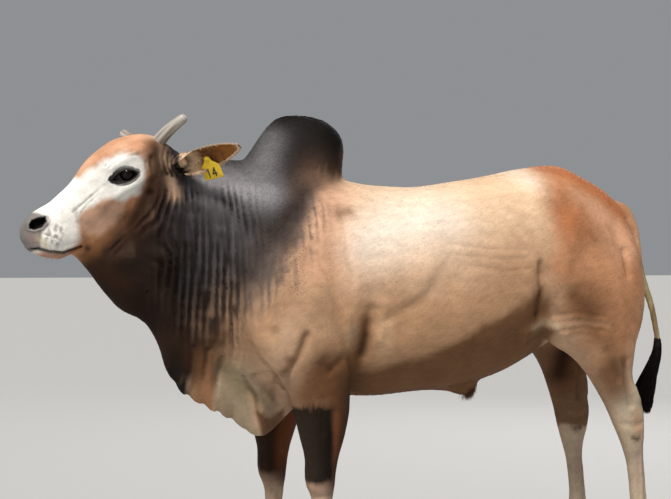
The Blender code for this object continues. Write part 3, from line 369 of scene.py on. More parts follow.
HIND_LEG = (
    (1.24, 0.72, 0.08, 0.12, 0.055),
    (1.14, 0.745, 0.108, 0.165, 0.083),
    (1.02, 0.765, 0.128, 0.19, 0.106),
    (0.92, 0.77, 0.142, 0.195, 0.108),
    (0.84, 0.77, 0.153, 0.185, 0.096),
    (0.77, 0.782, 0.162, 0.15, 0.08),
    (0.71, 0.818, 0.162, 0.104, 0.065),
    (0.65, 0.842, 0.161, 0.076, 0.053),
    (0.595, 0.868, 0.16, 0.068, 0.043),
    (0.545, 0.892, 0.16, 0.065, 0.037),
    (0.505, 0.903, 0.16, 0.057, 0.04),
    (0.465, 0.912, 0.16, 0.047, 0.041),
    (0.42, 0.92, 0.16, 0.037, 0.036),
    (0.36, 0.93, 0.16, 0.031, 0.029),
    (0.25, 0.94, 0.16, 0.03, 0.028),
    (0.18, 0.943, 0.16, 0.036, 0.033),
    (0.146, 0.937, 0.16, 0.043, 0.039),
    (0.112, 0.923, 0.16, 0.037, 0.036),
    (0.085, 0.91, 0.16, 0.041, 0.04),
    (0.06, 0.898, 0.16, 0.047, 0.045),
    (0.045, 0.894, 0.16, 0.047, 0.045),
)
SCROTUM = (
    (0.92, 0.845, 0.0, 0.046, 0.048),
    (0.84, 0.855, 0.0, 0.034, 0.038),
    (0.78, 0.863, 0.0, 0.037, 0.042),
    (0.725, 0.867, 0.0, 0.042, 0.049),
    (0.685, 0.87, 0.0, 0.04, 0.047),
    (0.663, 0.871, 0.0, 0.027, 0.033),
    (0.657, 0.871, 0.0, 0.011, 0.013),
)
# Middle line of the tail with its radius
TAIL = (
    (0.88, 0.0, 1.205, 0.03),
    (0.945, -0.004, 1.19, 0.029),
    (0.985, -0.01, 1.12, 0.024),
    (1.003, -0.02, 1.0, 0.019),
    (1.042, -0.04, 0.86, 0.015),
    (1.057, -0.052, 0.74, 0.014),
    (1.036, -0.058, 0.65, 0.015),
    (1.024, -0.06, 0.565, 0.011),
    (1.02, -0.06, 0.515, 0.004),
)
EAR_ROOT = (0.02, 0.103, -0.086)
EAR_REACH = (0.157, -0.15, 0.04)
EAR_FACING = (-0.3, -0.7, -0.5)
# The ear's round root: share of its reach, radius
EAR_BASE = ((-0.35, 0.031), (-0.05, 0.03), (0.06, 0.027), (0.13, 0.021))
# Along the ear: share of its length, radius of the cup, half angle of its wall
EAR_ROWS = (
    (0.0, 0.026, 150.0),
    (0.15, 0.029, 132.0),
    (0.3, 0.035, 98.0),
    (0.45, 0.04, 64.0),
    (0.62, 0.04, 56.0),
    (0.78, 0.034, 50.0),
    (0.9, 0.025, 41.0),
    (1.0, 0.011, 35.0),
)

tables = (TRUNK, NECK, DEWLAP, SHEATH, HEAD, HUMP, FORE_LEG, HIND_LEG, SCROTUM, TAIL, EAR_ROWS)
print("measured sections:", sum(len(rows) for rows in tables))

# %% [markdown]
# ## One skin over the whole body
# Flesh has no seams, so the lofted masses are melted into one: a voxel remesh turns everything that overlaps
# into a single closed surface, and easing rounds off the lines where a leg or the neck runs into the trunk.
# Boolean unions would keep those lines sharp, which suits machined parts and not an animal.

# %% Masses of the body as lofted skins
def upright_rings(rows, sides=64):
    """Rings square to the first coordinate: along, top, widest height, bottom, half width and two powers. The
    upper and lower halves are half superellipses that share the widest height."""
    angles = (np.arange(sides) + 0.5) * 2 * math.pi / sides
    above = np.sin(angles) > 0
    rings = []
    for along, top, middle, bottom, half, upper, lower in smooth_rows(rows):
        across, up = rounded(angles, upper)
        across_low, down = rounded(angles, lower)
        side = half * np.where(above, across, across_low)
        height = middle + np.where(above, up * (top - middle), down * (middle - bottom))
        rings.append(np.stack([np.full(sides, along), side, height], axis=1))
    return np.array(rings)


def level_rings(rows, power=2.2, sides=48, step=0.012):
    """Level rings, each a superellipse: height, x, side, half length and half width."""
    c, s = rounded((np.arange(sides) + 0.5) * 2 * math.pi / sides, power)
    z, x, side, length, width = (column[:, None] for column in smooth_rows(rows, step).T)
    return np.stack([x + length * c, side + width * s, z + 0 * c], axis=2)


def leg_rows(rows, side):
    """A leg's rows on one side; the far legs step forwards and the far hock stands a little lower."""
    step, hock, top = (FORE_STEP, 0.4, 0.95) if rows is FORE_LEG else (HIND_STEP, 0.52, 0.85)
    z, x, y, length, width = np.array(rows).T
    far = float(side == FAR)
    low = np.clip(1 - ((z - hock) / 0.2) ** 2, 0, 1) * (HOCK_DROP if rows is HIND_LEG else 0.0)
    along = x + far * step * ramp(top, top - 0.5, z)
    return np.stack([z - far * low, along, side * y, length, width], axis=1)


def tube_rings(path, radii, sides=16):
    """Rings of a tapering tube: circles square to the path."""
    path = np.array(path, float)
    ahead = np.gradient(path, axis=0)
    ahead /= np.linalg.norm(ahead, axis=1)[:, None]
    first = np.cross((0.0, 1.0, 0.0), ahead)
    first /= np.linalg.norm(first, axis=1)[:, None]
    second = np.cross(ahead, first)
    angles = np.arange(sides) * 2 * math.pi / sides
    c, s = np.cos(angles)[None, :, None], np.sin(angles)[None, :, None]
    ring = c * first[:, None] + s * second[:, None]
    return path[:, None] + np.array(radii, float)[:, None, None] * ring


def ear_axes(side):
    """Where an ear starts, how far it reaches, and unit vectors out of its cup and across it."""
    flip = np.array((1.0, -side, 1.0))
    lean, facing = np.array(EAR_REACH) * flip, np.array(EAR_FACING) * flip
    along = lean / np.linalg.norm(lean)
    facing -= along * (facing @ along)
    facing /= np.linalg.norm(facing)
    return on_head(np.array(EAR_ROOT) * (1, side, 1)), lean, facing, np.cross(along, facing)


def along_ear(points, side):
    """Each point's share of an ear's length, and what leads to it from the ear's middle line."""
    start, lean, _, _ = ear_axes(side)
    share = (points - start) @ lean / (lean @ lean)
    return share, points - start - share[:, None] * lean


def tail_line(places):
    """Points and radii of the tail at places counted along its rows."""
    curve = smooth_rows([(k, *row) for k, row in enumerate(TAIL)], 0.1)
    return np.stack([np.interp(places, curve[:, 0], curve[:, k]) for k in range(1, 5)], axis=1)


masses = [closed_loft(upright_rings(rows)) for rows in (TRUNK, NECK, DEWLAP, SHEATH)]
masses += [closed_loft(level_rings(rows, 2.0)) for rows in (HUMP, SCROTUM)]
head_rings = upright_rings(HEAD)
masses.append(closed_loft(on_head(head_rings.reshape(-1, 3)).reshape(head_rings.shape)))
for side in (NEAR, FAR):
    masses += [closed_loft(level_rings(leg_rows(rows, side))) for rows in (FORE_LEG, HIND_LEG)]
    ear_start, ear_lean, _, _ = ear_axes(side)
    root_path = [ear_start + ear_lean * share for share, _ in EAR_BASE]
    masses.append(closed_loft(tube_rings(root_path, [radius for _, radius in EAR_BASE], 20)))
tail_run = tail_line(np.arange(0, len(TAIL) - 0.95, 0.1))
masses.append(closed_loft(tube_rings(tail_run[:, :3], tail_run[:, 3], 16)))
print("lofted masses:", len(masses))

# %% Melting the masses into one skin
SKIN_VOXEL = 0.0065
SKIN_EASING = 16
EYE_SPOT = np.array((0.19, -0.092, -0.033))


def eased(points, edges, weight, rounds):
    """Each round moves a point half way to the middle of its neighbours, times its weight."""
    ends, others = np.r_[edges[:, 0], edges[:, 1]], np.r_[edges[:, 1], edges[:, 0]]
    degree = np.maximum(np.bincount(ends, minlength=len(points)), 1)[:, None]
    for _ in range(rounds):
        total = [np.bincount(ends, points[others, k], len(points)) for k in range(3)]
        points = points + 0.5 * weight[:, None] * (np.stack(total, axis=1) / degree - points)
    return points


def edges_of(obj):
    """The two ends of every edge, one row each."""
    ends = np.empty(len(obj.data.edges) * 2, np.int32)
    obj.data.edges.foreach_get("vertices", ends)
    return ends.reshape(-1, 2)


def refined(obj, region, rounds=3):
    """The faces inside a region cut in four, then eased so that the new points lie on a smooth skin."""
    inside = region(read_points(obj))
    bm = bmesh.new()
    bm.from_mesh(obj.data)
    faces = [face for face in bm.faces if all(inside[vert.index] for vert in face.verts)]
    edges = list({edge for face in faces for edge in face.edges})
    bmesh.ops.subdivide_edges(bm, edges=edges, cuts=1, use_grid_fill=True)
    bm.to_mesh(obj.data)
    bm.free()
    points = read_points(obj)
    write_points(obj, eased(points, edges_of(obj), region(points).astype(float), rounds))


def in_folds(points):
    """The loose skin of the neck, throat and brisket."""
    x, y, z = points.T
    return (x < -0.24) & (in_head(points)[:, 0] <= -0.02) & (z > 0.46) & (z < 1.34)


def in_face(points):
    """The whole head from just behind the poll."""
    s, y, h = in_head(points).T
    return (s > -0.02) & (h > -0.2) & (np.abs(y) < 0.14)


def in_features(points):
    """Round the eyes, the nose and the mouth."""
    s, y, h = folded(in_head(points)).T
    eye = np.hypot(s - EYE_SPOT[0], h - EYE_SPOT[2]) < 0.06
    nose = (s > 0.425) & (h > -0.175)
    return (eye & (y < -0.055)) | nose


skin = as_mesh("hide_of_bull", gathered(masses))
remesh = skin.modifiers.new("Melt", "REMESH")
remesh.mode = "VOXEL"
remesh.voxel_size = SKIN_VOXEL
with_modifiers(skin)
places = read_points(skin)
write_points(skin, eased(places, edges_of(skin), np.ones(len(places)), SKIN_EASING))
print("points after melting:", len(skin.data.vertices))
refined(skin, in_folds)
refined(skin, in_face)
refined(skin, in_features)
print("points after refining the head and neck:", len(skin.data.vertices))

# %% [markdown]
# ## Bones, muscles and folds
# The melted skin is still smooth like a balloon. A modeller would now push and pull it with a soft brush, so
# the script does the same: a stroke is a path with a radius and a height, and each point of the skin moves
# out by the height times a bell curve of its distance from the path. Folds in a row are waves instead.

# %% Strokes that push the skin out or in
def metres(table):
    """A table written in millimetres, in metres. A name and the strength that follows it stay as they are."""
    if isinstance(table, (int, float)):
        return table / 1000
    kept = 2 if isinstance(table[0], str) else 0
    return (*table[:kept], *(metres(part) for part in table[kept:]))


# Bones and muscles, in mm: a path in x, y and z on the left side, the radius of the bell and its height
BODY_STROKES = metres((
    (((605, -200, 1235), (640, -195, 1225)), 45, 20),
    (((935, -115, 1090), (950, -115, 1050)), 40, 12),
    (((460, -220, 1130), (530, -210, 1090)), 65, -13),
    (((575, -235, 980), (590, -215, 830)), 26, -14),
    (((330, -270, 1020), (200, -260, 900), (100, -250, 800)), 35, -6),
    (((-130, -240, 920), (-100, -235, 820)), 85, 18),
    (((30, -240, 920), (10, -230, 800), (0, -200, 740)), 34, -10),
    (((-335, -190, 860), (-325, -190, 800)), 55, 12),
    (((-160, -150, 1190), (-300, -180, 1000), (-370, -180, 900)), 34, -9),
    (((-170, -200, 1100), (-220, -230, 960)), 22, 7),
    (((860, -200, 1120), (885, -220, 900), (880, -200, 780)), 28, -10),
    (((700, -200, 1180), (660, -235, 1020), (640, -230, 900)), 40, 9),
    (((625, -200, 800), (650, -200, 770)), 45, 12),
    (((100, -75, 1260), (350, -85, 1280), (580, -85, 1310)), 40, 8),
    (((-575, 0, 1405), (-530, 0, 1395), (-490, 0, 1385)), 42, -26),
    (((-565, -50, 1395), (-530, -60, 1375)), 36, -20),
))
# Creases and ridges of the side, in mm: a path in x and z, the radius and the height
SIDE_STROKES = metres((
    (((-275, 765), (-270, 735)), 60, 12),
    (((-180, 800), (-205, 730), (-243, 680), (-310, 668)), 12, -10),
    (((-238, 680), (-235, 595), (-205, 480)), 14, -11),
    (((-360, 690), (-300, 640), (-235, 575)), 14, 7),
    (((-345, 665), (-300, 600), (-262, 465)), 9, -9),
    (((-415, 720), (-425, 640), (-420, 515)), 10, -10),
    (((-455, 750), (-465, 655), (-462, 535)), 8, -8),
    (((-500, 760), (-505, 660), (-500, 565)), 8, -8),
    (((-385, 880), (-400, 790), (-380, 720)), 10, -5),
    (((270, 1028), (190, 910), (45, 825)), 20, -6),
    (((30, 870), (14, 790), (4, 735)), 22, -12),
    (((60, 885), (55, 780)), 18, 6),
    (((-45, 860), (-35, 760)), 16, 6),
    (((-150, 850), (-110, 800), (-70, 735)), 24, -6),
    (((-100, 690), (-60, 720)), 14, -7),
    (((-45, 1190), (-40, 1080), (-30, 960)), 13, -5),
    (((575, 1015), (587, 930), (575, 855)), 11, -11),
    (((540, 792), (600, 838), (665, 800)), 18, 10),
    (((560, 765), (610, 800), (650, 770)), 8, -6),
    (((620, 850), (700, 860), (790, 845)), 6, -3),
    (((630, 828), (710, 836), (800, 820)), 6, -3),
    (((650, 806), (720, 812), (790, 800)), 6, -3),
    (((690, 910), (745, 845)), 34, -11),
    (((878, 1060), (886, 980)), 10, -8),
    (((270, 1078), (400, 1062), (520, 1058)), 6, -2.4),
    (((290, 1045), (420, 1030), (530, 1032)), 6, -2.4),
    (((330, 1008), (450, 992), (535, 1000)), 6, -2.4),
    (((630, 1235), (690, 1195)), 18, -5),
))
# The same on a leg, with the far legs moved back over the near ones
LEG_STROKES = metres((
    (((870, 700), (888, 610), (900, 560)), 12, -12),
    (((800, 740), (850, 650)), 14, -5),
    (((925, 610), (932, 580)), 18, 6),
    (((880, 500), (910, 490), (940, 500)), 10, -4),
    (((955, 430), (958, 330), (960, 210)), 8, -6),
    (((930, 400), (935, 250)), 7, -3),
    (((-125, 600), (-118, 500)), 13, -5),
    (((-85, 560), (-88, 470)), 10, -5),
    (((-150, 350), (-150, 330)), 22, 5),
    (((-100, 280), (-98, 190)), 8, -6),
    (((-160, 300), (-130, 296), (-90, 300)), 8, -3),
))
# On the head, in mm in its own axes: forwards, sideways and upwards of the poll
HEAD_STROKES = metres((
    (((95, -92, 12), (150, -104, 12), (205, -86, 14)), 18, 9),
    (((120, -100, -72), (215, -90, -68), (290, -72, -70)), 16, 6),
    (((110, -85, -115), (165, -80, -120)), 42, 9),
    (((300, -62, -110), (345, -55, -115)), 30, -7),
    (((45, -92, -30), (75, -98, -45)), 20, -7),
    (((240, -70, 0), (330, -52, -22)), 22, -5),
    (((470, -50, 12), (508, -44, 6)), 14, 4),
    (((465, -58, -80), (505, -50, -62)), 24, 5),
    (((440, -40, -150), (480, -20, -142)), 16, 5),
    (((262, -85, -21), (311, -68, -29), (376, -58, -40)), 4.5, -3),
    (((285, -80, -36), (328, -66, -43), (356, -62, -54)), 4, -2.4),
    (((120, -104, 0), (160, -108, 18), (215, -90, 16)), 4.5, -2.8),
    (((130, -100, 22), (170, -98, 33), (220, -82, 26)), 4.5, -2.4),
    (((110, -105, -30), (125, -105, -60), (150, -100, -85)), 5, -3),
    (((88, -105, -30), (112, -100, -75), (150, -95, -117)), 9, -7),
    (((150, -95, -117), (205, -85, -150), (270, -70, -168)), 10, -6),
    (((60, -110, -95), (42, -112, -130), (50, -105, -160)), 16, 10),
))


def distance(points, path):
    """Distance of every point from a path of straight runs, on a plane or in space."""
    path = np.atleast_2d(np.asarray(path, float))
    near = np.linalg.norm(points - path[0], axis=1)
    for start, end in zip(path[:-1], path[1:]):
        run = end - start
        t = np.clip((points - start) @ run / (run @ run), 0, 1)
        near = np.minimum(near, np.linalg.norm(points - start - t[:, None] * run, axis=1))
    return near


def bell(points, path, radius):
    """1 on a path, falling off as exp(-(distance / radius)²); points too far away to count are skipped."""
    path = np.atleast_2d(np.asarray(path, float))
    reach = 2.6 * radius
    close = (points > path.min(0) - reach) & (points < path.max(0) + reach)
    close = np.flatnonzero(close.all(axis=1))
    mask = np.zeros(len(points))
    mask[close] = np.exp(-((distance(points[close], path) / radius) ** 2))
    return mask


def stroked(points, strokes):
    """How far out each point moves under a set of strokes."""
    return sum(height * bell(points, path, radius) for path, radius, height in strokes)


def leg_view(points):
    """Side view of the legs, x and z, with the far legs moved back over the near ones."""
    x, y, z = points.T
    fore = x < 0.3
    step = np.where(fore, FORE_STEP * ramp(0.95, 0.45, z), HIND_STEP * ramp(0.85, 0.35, z))
    return np.stack([x - step * (y > 0), z], axis=1)


points, normals = read_points(skin), read_points(skin, "normal")
x, y, z = points.T
sideways = ramp(0.15, 0.55, np.abs(normals[:, 1])) * ramp(0.02, 0.05, np.abs(y))
legs = ramp(0.8, 0.72, z) * ramp(0.06, 0.09, np.abs(y))
push = stroked(folded(points), BODY_STROKES) + stroked(folded(in_head(points)), HEAD_STROKES)
push += sideways * ((1 - legs * (z < 0.62)) * stroked(points[:, [0, 2]], SIDE_STROKES))
push += sideways * legs * stroked(leg_view(points), LEG_STROKES)
write_points(skin, points + push[:, None] * normals)
count = sum(len(group) for group in (BODY_STROKES, SIDE_STROKES, LEG_STROKES, HEAD_STROKES))
print("strokes:", count, "highest and deepest:", round(float(push.max()), 4), round(float(push.min()), 4))

# %% Folds of the neck, and scallops under the throat
# The head's outline from the side, in its own axes; the folds of the neck run round it
HEAD_OUTLINE = metres((
    (-40, 120), (-30, 20), (50, -5), (88, -30), (112, -70), (150, -117),
    (205, -150), (270, -170), (340, -180), (400, -200), (600, -220), (600, 120),
))
# Long deep creases of the neck: paths in x and z
NECK_CREASES = metres((
    ((-322, 1150), (-335, 1080), (-348, 990)),
    ((-395, 1200), (-402, 1080), (-420, 950)),
    ((-462, 1260), (-468, 1100), (-480, 920)),
    ((-527, 1270), (-530, 1120), (-528, 900)),
    ((-590, 1240), (-610, 1100), (-600, 930)),
))


def wobble(points, size, seed=0):
    """A smooth uneven field between about -1 and 1: a sum of sine waves in fixed, spread directions."""
    draw = np.random.default_rng(seed)
    total = np.zeros(len(points))
    for _ in range(6):
        way = draw.normal(size=points.shape[1])
        turns = points @ (way / np.linalg.norm(way)) / (size * draw.uniform(0.7, 1.5))
        total += np.sin(2 * math.pi * turns + draw.uniform(0, 6.3))
    return total / 3.2


def outline_distance(view, outline):
    """Distance of flat points from a closed outline, less than 0 inside it: the nearest edge gives the
    distance, and the count of edges crossed by a level ray says which side a point is on."""
    corners = np.asarray(outline, float)
    near = np.full(len(view), np.inf)
    inside = np.zeros(len(view), bool)
    for start, end in zip(corners, np.roll(corners, -1, axis=0)):
        run = end - start
        t = np.clip((view - start) @ run / (run @ run), 0, 1)
        near = np.minimum(near, np.linalg.norm(view - start - t[:, None] * run, axis=1))
        crosses = (start[1] > view[:, 1]) != (end[1] > view[:, 1])
        level = start[0] + (view[:, 1] - start[1]) * run[0] / (run[1] if run[1] else 1.0)
        inside ^= crosses & (view[:, 0] < level)
    return np.where(inside, -near, near)


def neck_folds(points):
    """Ridges of loose skin: a wave of the distance from the jaw, which becomes one of x towards the shoulder.
    The wave is 2 |cos|^1.4 - 1, so that it has broad ridges and narrow creases."""
    x, y, z = points.T
    jaw = outline_distance(in_head(points)[:, [0, 2]], HEAD_OUTLINE)
    back = ramp(0.04, 0.16, jaw)
    along = jaw * (1 - back) + (x + 0.66 + 0.06 * (z - 1.1)) * back + 0.009 * wobble(points, 0.22, 3)
    along = along + 0.0035 * wobble(points * (1.0, 1.0, 0.5), 0.07, 4)
    wave = 2 * np.abs(np.cos(math.pi * along / 0.021)) ** 1.4 - 1
    ahead = ramp(-0.29, -0.4, x) * ramp(0.004, 0.02, jaw)
    high = ramp(1.3, 1.2, z) * ramp(0.66, 0.82, z)
    height = (0.003 + 0.0028 * wobble(points * (1.0, 1.0, 0.6), 0.1, 5)) * wave
    height = height * np.maximum(ramp(1.02, 1.08, z), ramp(-0.655, -0.6, x))
    creases = sum(bell(points[:, [0, 2]], path, 0.006) for path in NECK_CREASES)
    return (height - 0.0045 * creases) * ahead * high * ramp(0.02, 0.07, np.abs(y))


def ear_rings(points):
    """Wrinkles round the roots of the ears: a wave along each ear's axis, near its base only."""
    total = np.zeros(len(points))
    for side in (NEAR, FAR):
        share, off = along_ear(points, side)
        mask = ramp(0.05, 0.04, np.linalg.norm(off, axis=1))
        mask = mask * ramp(-0.32, -0.2, share) * ramp(0.13, 0.05, share)
        total += 0.0022 * mask * np.cos(2 * math.pi * share * np.linalg.norm(EAR_REACH) / 0.0115)
    return total


def throat_sway(points):
    """Sideways shift of the hanging skin under the throat and brisket, so that its edge waves."""
    x, y, z = points.T
    free = np.clip((0.8 - z) / 0.3, 0, 1) * ramp(-0.14, -0.24, x) * ramp(0.1, 0.05, np.abs(y))
    return 0.016 * free * np.sin(2 * math.pi * (x + 0.25 * z) / 0.13)


def throat_scallops(points):
    """Rise of the lower edge between the folds of the brisket: a wave of x that fades out upwards."""
    x, y, z = points.T
    low = ramp(0.09, 0.0, z - np.interp(x, (-0.62, -0.5, -0.3, -0.2), (0.76, 0.6, 0.47, 0.5)))
    wave = np.abs(np.sin(math.pi * (x + 0.02) / 0.046)) ** 3
    return 0.009 * low * ramp(-0.3, -0.36, x) * (x > -0.68) * wave


points = read_points(skin)
push = neck_folds(points) + ear_rings(points)
moved = points + push[:, None] * read_points(skin, "normal")
moved[:, 1] += throat_sway(moved)
moved[:, 2] += throat_scallops(moved)
write_points(skin, moved)
print("folds set, deepest:", round(float(push.min()), 4))

# %% [markdown]
# ## Eyes, nostrils and mouth
# The face is read at once, so its openings are shaped in the finest part of the skin. Each one is a distance
# measured along the face: inside it the skin sinks, and at its edge it rises into a lid, a rim or a lip.

# %% Sinking the openings of the face
SLIT_MIDDLE, SLIT_HALF, SLIT_TILT = (0.19, -0.034), 0.036, math.radians(18)
LID_UPPER, LID_LOWER = 0.0165, 0.013
NOSTRIL = metres((
    (506, 0), (492, 7), (471, 2), (453, -7), (458, -21), (480, -28),
    (502, -22), (512, -11),
))
# The mouth: across the front in the head's axes, and back along the side, forwards and upwards only
MOUTH_FRONT = metres(((545, 0, -62), (535, -30, -66), (520, -52, -80)))
MOUTH_SIDE = metres(((520, -80), (500, -102), (466, -129), (430, -139), (408, -145)))


def slit_distance(local):
    """Distance outside the almond of the eye, less than 0 inside it, and the height over its chord. The
    almond is two arches on that chord."""
    s, h = local[:, 0] - SLIT_MIDDLE[0], local[:, 2] - SLIT_MIDDLE[1]
    along = (s * math.cos(SLIT_TILT) + h * math.sin(SLIT_TILT)) / SLIT_HALF
    across = h * math.cos(SLIT_TILT) - s * math.sin(SLIT_TILT)
    reach = np.where(across > 0, LID_UPPER, LID_LOWER)
    arch = reach * np.clip(1 - along**2, 0, 1) ** 0.8
    past = np.clip(np.abs(along) - 1, 0, None) * SLIT_HALF
    gap = np.abs(across) - arch
    return np.where(past > 0, np.hypot(past, across), gap), across


def nostril_distance(local):
    """Distance outside the rim of a nostril, less than 0 inside it, and far off near the midline."""
    away = outline_distance(local[:, [0, 2]], NOSTRIL)
    return np.where((local[:, 1] < -0.022) & (local[:, 0] > 0.4), away, 1.0)


def mouth_distance(local):
    """Distance from the line of the mouth: round the front in space, and on the side as seen from there."""
    side = np.where(local[:, 1] < -0.025, distance(local[:, [0, 2]], MOUTH_SIDE), 1.0)
    return np.minimum(distance(local, MOUTH_FRONT), side)


def face_push(points):
    """How far out the skin of the face moves: in at the openings, out at their rims."""
    local = folded(in_head(points))
    gap, across = slit_distance(local)
    outer = ramp(-0.05, -0.065, local[:, 1]) * (np.abs(local[:, 0] - 0.19) < 0.09)
    ball = np.hypot(local[:, 0] - EYE_AT[0], local[:, 2] - EYE_AT[2])
    depth = 0.004 + 0.012 * ramp(0.026, 0.018, ball)
    lid = 0.0046 * np.exp(-(((gap - 0.0035) / 0.0042) ** 2))
    push = outer * (lid - depth * ramp(0.0005, -0.003, gap))
    push -= outer * 0.0026 * np.exp(-(((gap - 0.012) / 0.0028) ** 2)) * (across > 0)
    push -= outer * 0.0018 * np.exp(-(((gap - 0.011) / 0.0028) ** 2)) * (across < 0)
    hole = nostril_distance(local)
    push += 0.0036 * np.exp(-(((hole - 0.0045) / 0.0045) ** 2)) - 0.02 * ramp(0.001, -0.009, hole)
    line = mouth_distance(local)
    push += -0.0048 * np.exp(-((line / 0.0032) ** 2)) + 0.0018 * np.exp(-(((line - 0.009) / 0.005) ** 2))
    return push


points = read_points(skin)
write_points(skin, points + face_push(points)[:, None] * read_points(skin, "normal"))
print("eyes, nostrils and mouth sunk")

# %% [markdown]
# ## Ears as cupped leaves
# An ear is a thin cupped leaf on a round stalk. A flat sheet with thickness could be bent round it, but it is
# simpler to lay out its two walls as grids of points: the outer one on a fan of arcs along the ear's axis,
# and the inner one a little closer to that axis.

# %% Ears joined to the skin
EAR_THICK = 0.005


def ear_shape(side, lengthwise=56, crosswise=44):
    """A closed leaf: at each share of its length an arc of the cup, out on one wall and back on the other."""
    rows = smooth_rows(EAR_ROWS, 0.02)
    share = np.linspace(0, 1, lengthwise)
    radius = np.interp(share, rows[:, 0], rows[:, 1])[:, None]
    half = np.radians(np.interp(share, rows[:, 0], rows[:, 2]))[:, None]
    start, lean, facing, across = ear_axes(side)
    sweep = np.linspace(-1, 1, crosswise)[None]
    rings = []
    edge = np.sqrt(np.clip(1 - np.abs(sweep) ** 6, 0, 1))
    tip = np.sqrt(np.clip(1 - share[:, None] ** 8, 0.02, 1))
    for wall in (0.5, -0.5):
        angle = half * sweep
        lift = radius * (1 - np.cos(angle))
        out = radius * np.sin(angle)
        thick = wall * EAR_THICK * edge * tip
        point = start + lean * share[:, None, None] + facing * (lift - thick * np.cos(angle))[..., None]
        rings.append(point + across * (out + thick * np.sin(angle))[..., None])
    rings = np.concatenate([rings[0], rings[1][:, ::-1][:, 1:-1]], axis=1)
    return closed_loft(rings)


def union(obj, other):
    """One closed surface round both objects."""
    step = obj.modifiers.new("Union", "BOOLEAN")
    step.operation = "UNION"
    step.object = other
    step.solver = "MANIFOLD"
    with_modifiers(obj)
    bpy.data.objects.remove(other)


for side in (NEAR, FAR):
    union(skin, as_mesh("ear", ear_shape(side)))
points = read_points(skin)
near_root = np.zeros(len(points))
for side in (NEAR, FAR):
    start, lean, _, _ = ear_axes(side)
    near_root = np.maximum(near_root, bell(points, (start, start + 0.22 * lean), 0.03))
write_points(skin, eased(points, edges_of(skin), near_root, 6))
print("triangles with ears:", triangles(skin))

# %% Fewer triangles where the skin is plain
SKIN_TRIANGLES = 197000
COAT_DEPTH = 0.0015


def thinned(obj, count):
    """The object brought down to about count triangles, by closing the edges that change its shape least."""
    fewer = obj.modifiers.new("Fewer", "DECIMATE")
    fewer.ratio = count / triangles(obj)
    fewer.use_collapse_triangulate = True
    with_modifiers(obj)


thinned(skin, SKIN_TRIANGLES)
points = read_points(skin)
write_points(skin, points - COAT_DEPTH * read_points(skin, "normal"))
skin.data.shade_smooth()
print("thinned skin:", triangles(skin), "triangles")

# %% [markdown]
# ## The coat's markings, with painted shade and highlights
# The bull is charcoal on neck and hump, cream over the ribs, rusty on the croup and white round the eyes. A
# painted image could carry that, but it would have to be drawn. Here each mark is an outline or a dab with a
# soft edge, on a side view of the body or in the head's own axes, and skin and hair take the same colours.
# Some marks are painted light: shade in creases, under the jaw and on the belly, highlights on ribs, hip and
# neck.

# %% Colours of the hide and how they are laid on
HIDE_COLOURS = {
    "white": (0.88, 0.86, 0.8), "cream": (0.78, 0.55, 0.355), "peach": (0.66, 0.37, 0.235),
    "salmon": (0.71, 0.41, 0.255), "tan": (0.4, 0.225, 0.12), "rust": (0.42, 0.13, 0.042),
    "russet": (0.44, 0.205, 0.1), "cheek": (0.6, 0.375, 0.26), "fawn": (0.52, 0.335, 0.215),
    "brown": (0.13, 0.058, 0.025), "dark brown": (0.03, 0.013, 0.007), "charcoal": (0.019, 0.0145, 0.0135),
    "grey": (0.27, 0.255, 0.265), "warm grey": (0.09, 0.068, 0.06), "black": (0.005, 0.0038, 0.0032),
    "nose": (0.17, 0.15, 0.14), "pink": (0.42, 0.25, 0.22), "yellow": (0.58, 0.46, 0.27),
    "orange brown": (0.27, 0.125, 0.055), "pale skin": (0.36, 0.28, 0.19), "bone": (0.52, 0.46, 0.38),
    "sock": (0.4, 0.33, 0.24), "olive": (0.25, 0.215, 0.105), "amber": (0.26, 0.095, 0.018),
}


def laid_on(colour, name, mask):
    """The colours moved towards a named one by a mask."""
    return colour + (np.array(HIDE_COLOURS[name]) - colour) * np.clip(mask, 0, 1)[:, None]


def patch(view, outline, soft, ragged=0.0, seed=0):
    """1 inside an outline and 0 outside, with a soft edge that wanders by ragged, most of all up and down."""
    away = outline_distance(view, outline)
    if ragged:
        drawn_out = view * (1.0, 0.35)
        away = away + ragged * (wobble(view, 0.11, seed) + 0.6 * wobble(drawn_out, 0.022, seed + 1))
    return ramp(soft, -soft, away)


def patched(colour, view, patches, seed):
    """A colour with outlines laid on in turn, each uneven in its own way from the seed on."""
    for k, (name, strength, soft, ragged, outline) in enumerate(patches):
        colour = laid_on(colour, name, strength * patch(view, outline, soft, ragged, seed + k))
    return colour


def dabbed(colour, places, dabs, mask=1.0):
    """A colour with dabs laid on in turn, where a mask lets them."""
    for name, strength, radius, path in dabs:
        colour = laid_on(colour, name, mask * strength * bell(places, path, radius))
    return colour


